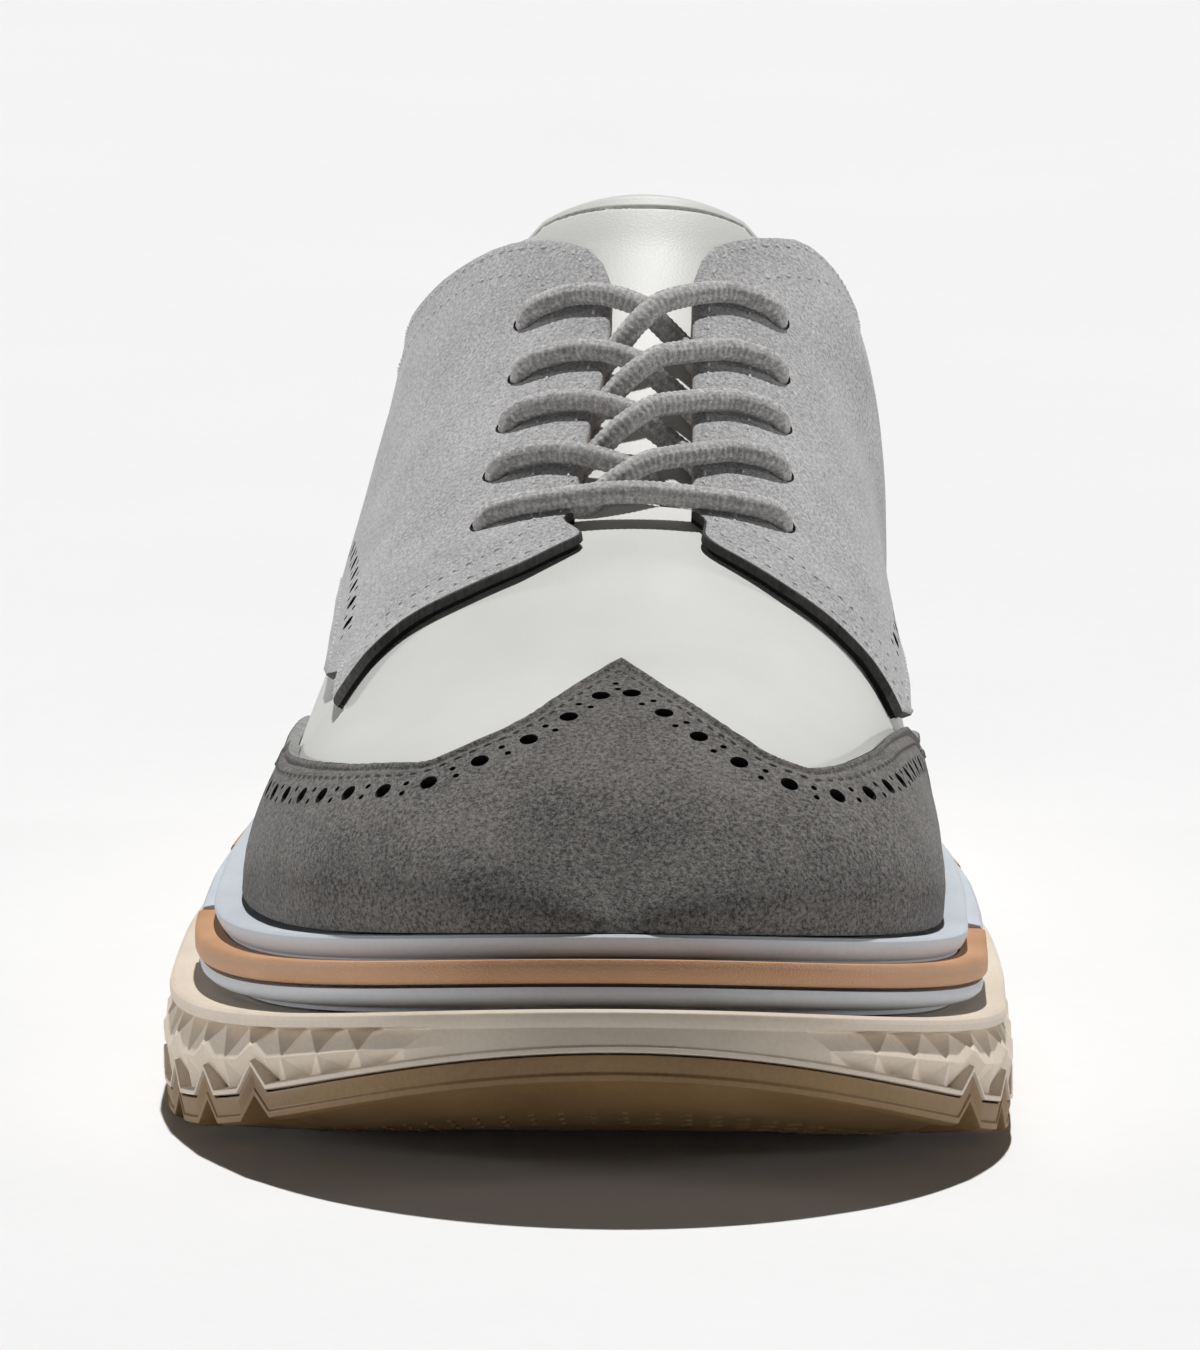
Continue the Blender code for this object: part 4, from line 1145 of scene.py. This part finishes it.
def make_vamp():
    """The lasted shell: pale vamp in front, lining of the quarters behind, open along the throat."""
    along = np.linspace(0, 1, 141)
    ends = []
    for station in (THROAT_STATION, COLLAR_STATION, CREST_STATION):
        ends.append(int(np.argmin(np.abs(along - rib_along(station)))))
        along[ends[-1]] = rib_along(station)
    throat, collar = ends[:2]
    up = np.linspace(0, 1, 41)
    open_row = 30
    grid_along, grid_up = np.meshgrid(along, up, indexing="ij")
    outer = [upper_point(side, grid_along, grid_up) for side in SIDES]
    looks = [shell_normal(side, grid_along, grid_up) for side in SIDES]
    crown_steps = 8
    outer = bridge(outer, crown_steps)
    looks = [np.concatenate([look, np.repeat(look[:, -1:], crown_steps, 1)], 1) for look in looks]
    inner = [face - WALL * look for face, look in zip(outer, looks)]
    inner[0][:, -1] = (inner[0][:, -1] + inner[1][:, -1]) / 2
    inner[1][:, -1] = inner[0][:, -1]
    tip = outer[0][0, 0].copy()
    for face, back in zip(outer, inner):
        face[0] = tip
        back[0] = tip + np.array([0, WALL, 0])
    heel = (inner[0][-1] + inner[1][-1]) / 2
    inner[0][-1] = heel
    inner[1][-1] = heel
    outer[1][-1] = outer[0][-1]

    def closed_there(i, j):
        return j < open_row or not throat <= i < collar

    tab = int(np.argmin(np.abs(along - rib_along(TAB_STATION))))

    def kept(i, j):
        if j >= len(up) - 1:
            return i < tab
        return closed_there(i, j) or i < tab

    faces = grid_faces(len(along), len(up) + crown_steps, kept)
    size = len(along) * (len(up) + crown_steps)
    faces += [[size + corner for corner in face[::-1]] for face in faces]
    form = Form()
    wall(form, np.concatenate(outer), np.concatenate(inner), faces, rim_finish=1)
    return make_piece("vamp_and_lining", form, [PALE_LEATHER, LINING], ["upper"], crease=60)


def edge_curve(rows):
    """An overlay's edge, as a share of the way round for a share of the rib's height."""
    return through([row.share for row in rows], rib_along([row.station for row in rows]))


def distance_to(points, border):
    """How far each point is from the nearest point of a border."""
    found = []
    for row in points:
        gaps = np.linalg.norm(row[:, None] - border[None], axis=-1)
        found.append(gaps.min(axis=1))
    return np.array(found)


def make_wing():
    """The dark toe cap: a cut edge with a sewn groove, a row of stitches and a row of punched holes."""
    height = np.concatenate([np.linspace(0, 0.62, 126), np.linspace(0.62, 1, 46)[1:]])
    reach = np.linspace(1, 0, 58)
    share = 1 - np.expm1(3.6 * reach) / np.expm1(3.6)
    up, face, look = [], [], []
    for side, order in ((LATERAL, slice(None)), (MEDIAL, slice(-2, None, -1))):
        end = edge_curve(WING_EDGE[side])(height)[order]
        way = end[:, None] * share[None]
        rise = np.repeat(height[order][:, None], len(share), 1)
        up.append(rise)
        face.append(upper_point(side, way, rise))
        look.append(shell_normal(side, way, rise))
    up = np.concatenate(up)
    face = np.concatenate(face)
    look = np.concatenate(look)
    border = face[:, -1]
    fine_border = evenly(border, 0.5)
    apart = distance_to(face, fine_border)
    apart[:, -1] = 0
    raised = OVERLAY_FOOT * (1 - up) ** 6
    lift = through([row.distance for row in WING_STEPS], [row.lift for row in WING_STEPS])(apart)
    outer = face + look * lift[..., None]
    inner = face + look * 0.12
    outer[..., 2] += raised
    inner[..., 2] += raised
    foot = inner[:, -1:] + 0.03 * look[:, -1:]
    outer = np.concatenate([outer, foot], 1)
    inner = np.concatenate([inner, inner[:, -1:] - 0.04 * look[:, -1:]], 1)
    outer[:, 0] = outer[0, 0]
    inner[:, 0] = inner[0, 0]
    rows, columns = outer.shape[:2]
    faces = grid_faces(rows, columns)
    kinds = np.tile(np.where(np.arange(columns - 1) == columns - 2, 1, 0), rows - 1)
    marks = np.concatenate([apart, 0 * apart[:, :1]], 1)
    form = Form()
    wall(form, outer, inner, faces, kinds, 0, 0, marks)
    finishes = [DARK_SUEDE, CAP_EDGE, PAINTED_SHADE_GAP]
    obj = make_piece("wing_cap_suede", form, finishes, ["wing_cap"], 50)
    line, looks = line_at(outer[:, :-1], look, apart, 2.6)
    thread = Form()
    sew(thread, line, looks, CAP_STITCH, 0.1)
    make_piece("wing_cap_stitches", thread, [DARK_THREAD])
    # The punched holes are blind; their walls and floors get the near-black painted shade finish.
    return punch(obj, brogue(outer[:, :-1], look, apart, 5.4, 7.4, 1.25, 0.45, 1.25), 2)


def brogue(points, normals, measure, distance, pitch, large, small, depth):
    """Places of punched holes along an edge: large ones with a pair of small ones between."""
    line, looks = line_at(points, normals, measure, distance)
    length = np.linalg.norm(np.diff(line, axis=0), axis=1).sum()
    pitch = length / round(length / pitch)
    spots, ways = evenly(line, pitch / 2, looks)
    onward = unit(np.gradient(spots, axis=0))
    places = []
    for i in range(1, len(spots) - 1):
        normal = unit(ways[i])
        if i % 2 == 0:
            places.append((spots[i], normal, large, depth))
        else:
            beside = np.cross(onward[i], normal)
            for way in (-1, 1):
                places.append((spots[i] + 0.95 * way * beside, normal, small, depth))
    return places


QUARTER_FRONT_STEPS = [
    Step(0.5, 0.15),
    Step(0.5, 0.95),
    Step(0.0, 0.95),
    Step(0.0, 2.15),
    Step(0.25, 2.35),
    Step(0.7, 2.4),
    Step(1.4, 2.4),
    Step(2.2, 2.38),
    Step(3.2, 2.35),
    Step(4.5, 2.3),
    Step(6.0, 2.25),
    Step(8.0, 2.2),
]
QUARTER_BASE_STEPS = [
    Step(0.5, 0.15),
    Step(0.5, 0.8),
    Step(0.0, 0.8),
    Step(0.0, 1.8),
    Step(0.25, 2.05),
    Step(0.7, 2.15),
    Step(1.4, 2.2),
    Step(2.4, 2.2),
    Step(4.0, 2.2),
    Step(6.0, 2.2),
]
QUARTER_TOP_STEPS = [
    Step(0.05, 0.15),
    Step(0.0, 0.6),
    Step(0.0, 1.7),
    Step(0.25, 2.0),
    Step(0.7, 2.15),
    Step(1.4, 2.2),
    Step(2.4, 2.2),
    Step(4.0, 2.2),
    Step(6.0, 2.2),
]
WAY_ROUND_MM, HEIGHT_MM = 450.0, 65.0


def quarter_place(side, column, row):
    """Where the quarter's grid stands on the shell, by its place along the top line and its height."""
    tip = QUARTER_FRONT[side][0].share
    curve = edge_curve(QUARTER_FRONT[side])
    top = curve(1.0)
    depth = rib_along(QUARTER_FRONT[side][-1].station + QUARTER_FRONT_DEPTH) - top
    felt = np.clip(1 - (column - top) / depth, 0, 1) ** 2
    along = column[None] + (curve(tip + (1 - tip) * row) - top)[:, None] * felt[None]
    base = QUARTER_BASE[side][::-1]
    foot = through(rib_along([edge.station for edge in base]), [edge.share for edge in base])
    low = foot(column + (curve(tip) - top) * felt)
    return along, low[None] + (1 - low)[None] * row[:, None]


def cut_lines(first, count, last, scale, end):
    """Grid lines from one cut edge to another, close together near the edges, with what each is lifted."""
    start = np.array([step.distance for step in first]) / scale
    stop = end - np.array([step.distance for step in last])[::-1] / scale
    middle = np.linspace(start[-1], stop[0], count)[1:-1]
    lines = np.concatenate([start, middle, stop])
    full = [first[-1].lift] * len(middle)
    lifts = np.array([step.lift for step in first] + full + [step.lift for step in last][::-1])
    inside = np.maximum(lines, start[0] + np.arange(len(lines)) * 0.02 / scale)
    inside = np.minimum(inside, stop[-1] - np.arange(len(lines))[::-1] * 0.02 / scale)
    return lines, inside, lifts


def lengths(points, axis):
    """Distance walked along the grid lines of a panel."""
    steps = np.linalg.norm(np.diff(points, axis=axis), axis=-1)
    pad = np.zeros_like(np.take(steps, [0], axis=axis))
    return np.concatenate([pad, np.cumsum(steps, axis=axis)], axis=axis)


def make_quarter(name, node, side):
    """A suede quarter: thick cut edges, two rows of stitches along its front, holes along its base."""
    top = edge_curve(QUARTER_FRONT[side])(1.0)
    heel = [Step(0.0, 2.1), Step(0.5, 2.2)]
    column, column_in, front_lift = cut_lines(QUARTER_FRONT_STEPS, 84, heel, WAY_ROUND_MM, 1.0 - top)
    row, row_in, base_lift = cut_lines(QUARTER_BASE_STEPS, 40, QUARTER_TOP_STEPS, HEIGHT_MM, 1.0)
    lift = np.minimum(front_lift[None], base_lift[:, None])
    along, up = quarter_place(side, top + column, row)
    looks = shell_normal(side, along, up)
    outer = off_shell(side, along, up, lift)
    along_in, up_in = quarter_place(side, top + column_in, row_in)
    inner = off_shell(side, along_in, up_in, np.full_like(up_in, 0.1))
    outer[:, -1, 0] += side * 0.1
    inner[:, -1, 0] += side * 0.1
    rows, columns = outer.shape[:2]
    faces = grid_faces(rows, columns)
    kinds = np.zeros((rows - 1, columns - 1), int)
    suede, raw_edge, gap, facing, lining = range(5)
    kinds[-2:] = np.where(along[-1, :-1] < rib_along(CREST_STATION), facing, suede)
    kinds[:, :4] = raw_edge
    kinds[:4] = raw_edge
    # gap is the near-black painted shade: the set-back lowest strip of each cut edge, and the walls of the
    # eyelets and punched holes.
    kinds[:, :2] = gap
    kinds[:2] = gap
    from_front = lengths(outer[:, 3:], 1)
    from_base = lengths(outer[3:], 0)
    from_top = lengths(outer[::-1][2:], 0)[::-1]
    marks = np.zeros((rows, columns))
    marks[:, 3:] = from_front
    form = Form()
    wall(form, outer, inner, faces, kinds.reshape(-1), lining, raw_edge, marks)
    finishes = [GREY_SUEDE, RAW_EDGE, PAINTED_SHADE_GAP, FACING_EDGE, LINING]
    obj = make_piece(name, form, finishes, [node], 50)
    thread = Form()
    sew_quarter(thread, outer, looks, from_front, from_base, from_top)
    from_heel = lengths(outer[:, ::-1], 1)[:, ::-1]
    line, ways = line_at(outer[5:-4, 9:], looks[5:-4, 9:], from_heel[5:-4, 9:], 2.8)
    sew(thread, line, ways, QUARTER_STITCH, 0.04)
    make_piece(name + "_stitches", thread, [GREY_THREAD])
    places = []
    for eyelet in range(EYELETS):
        centre, normal = facing_place(side, eyelet, EYELET_IN)
        places.append((centre, normal, EYELET_RADIUS, 5.0))
    rows_up = slice(3, None)
    across = (outer[rows_up, 12:], looks[rows_up, 12:], from_base[:, 12:])
    holes = brogue(*[value.swapaxes(0, 1) for value in across], 7.5, 7.4, 1.15, 0.45, 1.5)
    return punch(obj, places + holes, gap)


def sew_quarter(thread, outer, looks, from_front, from_base, from_top):
    """Rows of stitches: two along the front edge, one along the base, one under the top line."""
    for distance in (3.0, 9.5):
        line, ways = line_at(outer[3:-3, 3:], looks[3:-3, 3:], from_front[3:-3], distance)
        sew(thread, line, ways, QUARTER_STITCH, 0.04)
    base = (outer[3:, 9:], looks[3:, 9:], from_base[:, 9:])
    line, ways = line_at(*[value.swapaxes(0, 1) for value in base], 3.0)
    sew(thread, line, ways, QUARTER_STITCH, 0.12)
    band = (outer[:-2, 9:], looks[:-2, 9:], from_top[:, 9:])
    for distance in (2.4, 8.8):
        line, ways = line_at(*[value.swapaxes(0, 1) for value in band], distance)
        sew(thread, line, ways, QUARTER_STITCH, 0.04)


def make_tongue():
    """The tongue: an arched leather pad with a folded edge."""
    columns = 61
    station = np.concatenate([np.linspace(92, 168, 60), np.linspace(168, 175, 46)[1:]])
    rows = len(station)
    height = through([row.station for row in TONGUE], [row.height for row in TONGUE])
    width = through([row.station for row in TONGUE], [row.half_width for row in TONGUE])
    across = np.linspace(-1, 1, columns)
    across = np.sin(across * np.pi / 2) * 0.5 + across * 0.5
    x = across[None] * width(station)[:, None]
    drop = TONGUE_ARCH - np.sqrt(TONGUE_ARCH**2 - x**2)
    back = np.repeat(station[:, None], columns, 1)
    face = np.stack([TONGUE_MIDDLE + x, back, height(station)[:, None] - drop], -1)
    look = unit(np.cross(np.gradient(face, axis=1), np.gradient(face, axis=0)))
    from_side = np.minimum(lengths(face, 1), lengths(face[:, ::-1], 1)[:, ::-1])
    from_top = lengths(face[::-1], 0)[::-1]
    apart = np.minimum(from_side, from_top)
    half = TONGUE_THICK / 2
    swell = half * np.sqrt(1 - np.clip(1 - apart / half, 0, 1) ** 2)
    groove = 0.4 * np.exp(-(((apart - FOLD) / 0.2) ** 2))
    core = face - look * half
    outer = core + look * (swell - groove)[..., None]
    inner = core - look * swell[..., None] - look * 0.01
    faces = grid_faces(rows, columns)
    form = Form()
    wall(form, outer, inner, faces, 0, 1, 0, apart)
    return make_piece("tongue_leather", form, [PALE_LEATHER, LINING], ["tongue"], 60)


# The lace


def facing_place(side, row, inward):
    """A point of the quarter's outer face beside eyelet row, this far in from the facing's edge."""
    station = EYELET_FIRST + (EYELET_LAST - EYELET_FIRST) * row / (EYELETS - 1)
    station += EYELET_BACK[side] * inward / EYELET_IN
    along = rib_along(station)
    fine = np.linspace(0.5, 1, 200)
    rib = upper_point(side, np.full(200, along), fine)
    length = np.concatenate([[0], np.cumsum(np.linalg.norm(np.diff(rib, axis=0), axis=1))])
    up = np.interp(length[-1] - inward, length, fine)
    spot = np.array([along]), np.array([up])
    normal = shell_normal(side, *spot)[0]
    return upper_point(side, *spot)[0] + OVERLAY_FACE * normal, normal


def lace_spot(side, row, inward, lift):
    """A point of the lace over or under the facing, by how far it is off the facing's outer face."""
    point, normal = facing_place(side, row, inward)
    return point + normal * lift


def lace_end(side, row):
    """Up out of an eyelet at a slant and along the facing towards its edge."""
    steps = ((1.3, -3.4), (0.75, -1.7), (-0.1, 0.1), (-1.6, 1.15), (-4.4, 1.4), (-8, 1.4))
    return [lace_spot(side, row, EYELET_IN + further, lift) for further, lift in steps]


def lace_middle(row, share, lift):
    """A point over the gap between the facings, share of the way from the lateral to the medial one."""
    left, left_normal = facing_place(LATERAL, row, 0.0)
    right, right_normal = facing_place(MEDIAL, row, 0.0)
    square = left_normal + right_normal
    return left + (right - left) * share + square / np.linalg.norm(square) * lift


def lace_crossing(side, row):
    """From one facing over the gap and under the other facing, to the eyelet a row lower."""
    if side == MEDIAL:
        over = [
            lace_spot(side, row - 0.06, 1.5, 1.5),
            lace_middle(row - 0.28, 0.68, 2.5),
            lace_middle(row - 0.55, 0.36, 1.6),
            lace_middle(row - 0.76, 0.1, -1.2),
        ]
    else:
        over = [
            lace_spot(side, row - 0.05, 1.5, 1.4),
            lace_middle(row - 0.2, 0.36, 0.8),
            lace_middle(row - 0.34, 0.6, -0.9),
            lace_middle(row - 0.5, 0.84, -2.8),
        ]
    under = [
        lace_spot(-side, row - 0.86, 3.0, -4.4),
        lace_spot(-side, row - 0.96, 9.0, -5.0),
        lace_spot(-side, row - 1.0, EYELET_IN + 0.5, -4.8),
    ]
    return over + under


def lace_run(side):
    """One half of the lace, from a top eyelet down to the bottom row, crossing at every row."""
    path = []
    here = side
    for row in range(EYELETS - 1, 0, -1):
        path += lace_end(here, row) + lace_crossing(here, row)
        here = -here
    return path


def lace_path():
    bar = lace_end(LATERAL, 0) + [lace_middle(0, 0.5, 2.4)] + lace_end(MEDIAL, 0)[::-1]
    path = np.array(lace_run(LATERAL) + bar + lace_run(MEDIAL)[::-1])
    length = np.concatenate([[0], np.cumsum(np.linalg.norm(np.diff(path, axis=0), axis=1))])
    fine = np.arange(0, length[-1], 0.25)
    smooth = np.stack([through(length, path[:, axis])(fine) for axis in range(3)], -1)
    window = np.hanning(11)
    padded = np.pad(smooth, ((5, 5), (0, 0)), mode="edge")
    eased = [np.convolve(padded[:, axis], window / window.sum(), mode="valid") for axis in range(3)]
    return evenly(np.stack(eased, -1), LACE_STEP)


def make_lace():
    """One waxed lace, braided of fine strands, through every eyelet."""
    path = lace_path()
    onward = unit(np.gradient(path, axis=0))
    beside = np.zeros_like(path)
    beside[0] = np.cross(onward[0], [0, 0, 1])
    for i in range(1, len(path)):
        beside[i] = beside[i - 1] - onward[i] * np.dot(beside[i - 1], onward[i])
        beside[i] /= np.linalg.norm(beside[i])
    above = np.cross(beside, onward)
    around = 24
    turn = np.linspace(0, 2 * np.pi, around, endpoint=False)
    twist = 2 * np.pi * np.arange(len(path))[:, None] * LACE_STEP / BRAID_PITCH
    relief = np.sin(4 * turn[None] + 4 * twist) * np.sin(4 * turn[None] - 4 * twist)
    radius = LACE_RADIUS * (0.97 + 0.07 * relief)
    ring = beside[:, None] * np.cos(turn)[None, :, None] + above[:, None] * np.sin(turn)[None, :, None]
    points = path[:, None] + ring * radius[..., None]
    faces = []
    for i in range(len(path) - 1):
        for j in range(around):
            k = (j + 1) % around
            faces.append([i * around + j, i * around + k, (i + 1) * around + k, (i + 1) * around + j])
    last = (len(path) - 1) * around
    faces += [list(range(around))[::-1], [last + j for j in range(around)]]
    form = Form()
    # The edge value here is the braid's depth: the lace's finish paints shade into the hollows from it.
    form.add(points, faces, 0, 1.6 + 1.2 * relief)
    nodes = ["lace_bar"] + [f"lace_cross_{row}" for row in range(1, EYELETS)]
    return make_piece("lace", form, [LACE_CORD], nodes, crease=70)


# Floor, light and camera


def quiet(made):
    """A floor finish that throws less light back up than it shows."""
    tree = made.node_tree
    base = tree.nodes["Principled BSDF"].inputs["Base Color"]
    shown = base.links[0].from_socket
    seen = place(tree, "ShaderNodeLightPath").outputs["Is Camera Ray"]
    tree.links.new(between(tree, seen, (FLOOR_BACK, FLOOR_BACK, FLOOR_BACK), shown), base)
    return made


def make_stage():
    mesh = bpy.data.meshes.new("floor")
    size = 6.0
    corners = [(-size, -size, 0), (size, -size, 0), (size, size, 0), (-size, size, 0)]
    mesh.from_pydata(corners, [], [(0, 1, 2, 3)])
    floor = bpy.data.objects.new("floor", mesh)
    bpy.context.scene.collection.objects.link(floor)
    pale = finish(
        "pale_floor", (0.87, 0.87, 0.87), (0.85, 0.85, 0.85), MOULDED, 300, (0.85, 0.95), 0.02, 0.05
    )
    mesh.materials.append(quiet(pale))
    world = bpy.data.worlds.new("studio")
    world.use_nodes = True
    world.node_tree.nodes["Background"].inputs["Color"].default_value = (1, 1, 1, 1)
    world.node_tree.nodes["Background"].inputs["Strength"].default_value = 0.022
    bpy.context.scene.world = world
    bpy.context.scene.view_settings.view_transform = "Standard"


def make_light(name, turn, height, softness, strength):
    """A far light, by where it comes from: degrees round from behind the shoe, and over the floor."""
    turn, height = np.radians(turn), np.radians(height)
    level = np.cos(height)
    towards = Vector((-np.sin(turn) * level, -np.cos(turn) * level, -np.sin(height)))
    lamp = bpy.data.lights.new(name, "SUN")
    lamp.energy = strength
    lamp.angle = np.radians(softness)
    obj = bpy.data.objects.new(name, lamp)
    obj.location = -2 * towards
    obj.rotation_euler = towards.to_track_quat("-Z", "Y").to_euler()
    bpy.context.scene.collection.objects.link(obj)


def make_camera():
    tilt = np.radians(EYE_TILT)
    ball = to_frame([0, 77, 0])
    back = np.array([EYE_SIDE, -EYE_BACK * np.cos(tilt), EYE_BACK * np.sin(tilt) + EYE_UP]) * MM
    looks = (-np.tan(np.radians(AIM_TURN)), 1.0, -np.tan(np.radians(AIM_TILT)))
    camera = bpy.data.cameras.new("camera")
    camera.sensor_fit = "HORIZONTAL"
    camera.sensor_width = SENSOR
    camera.lens = SENSOR * FOCAL_WIDTHS
    camera.clip_start, camera.clip_end = 0.1, 50.0
    obj = bpy.data.objects.new("camera", camera)
    obj.location = ball * np.array([1, 1, 0]) + back
    obj.rotation_euler = Vector(looks).to_track_quat("-Z", "Y").to_euler()
    bpy.context.scene.collection.objects.link(obj)
    bpy.context.scene.camera = obj


make_camera()
make_stage()
make_light("key", 8, 78, 2, 3.25)
make_light("left_side", -79, 3.5, 6, 1.15)
make_light("right_side", 79, 3.5, 6, 1.05)
make_light("low_front", 180, 5, 10, 0.15)

make_gum_sole()
make_frame()
make_foam()
make_strips()
make_footbed()
make_vamp()
make_wing()
make_quarter("quarter_lateral_suede", "quarter_lateral", LATERAL)
make_quarter("quarter_medial_suede", "quarter_medial", MEDIAL)
make_tongue()
make_lace()
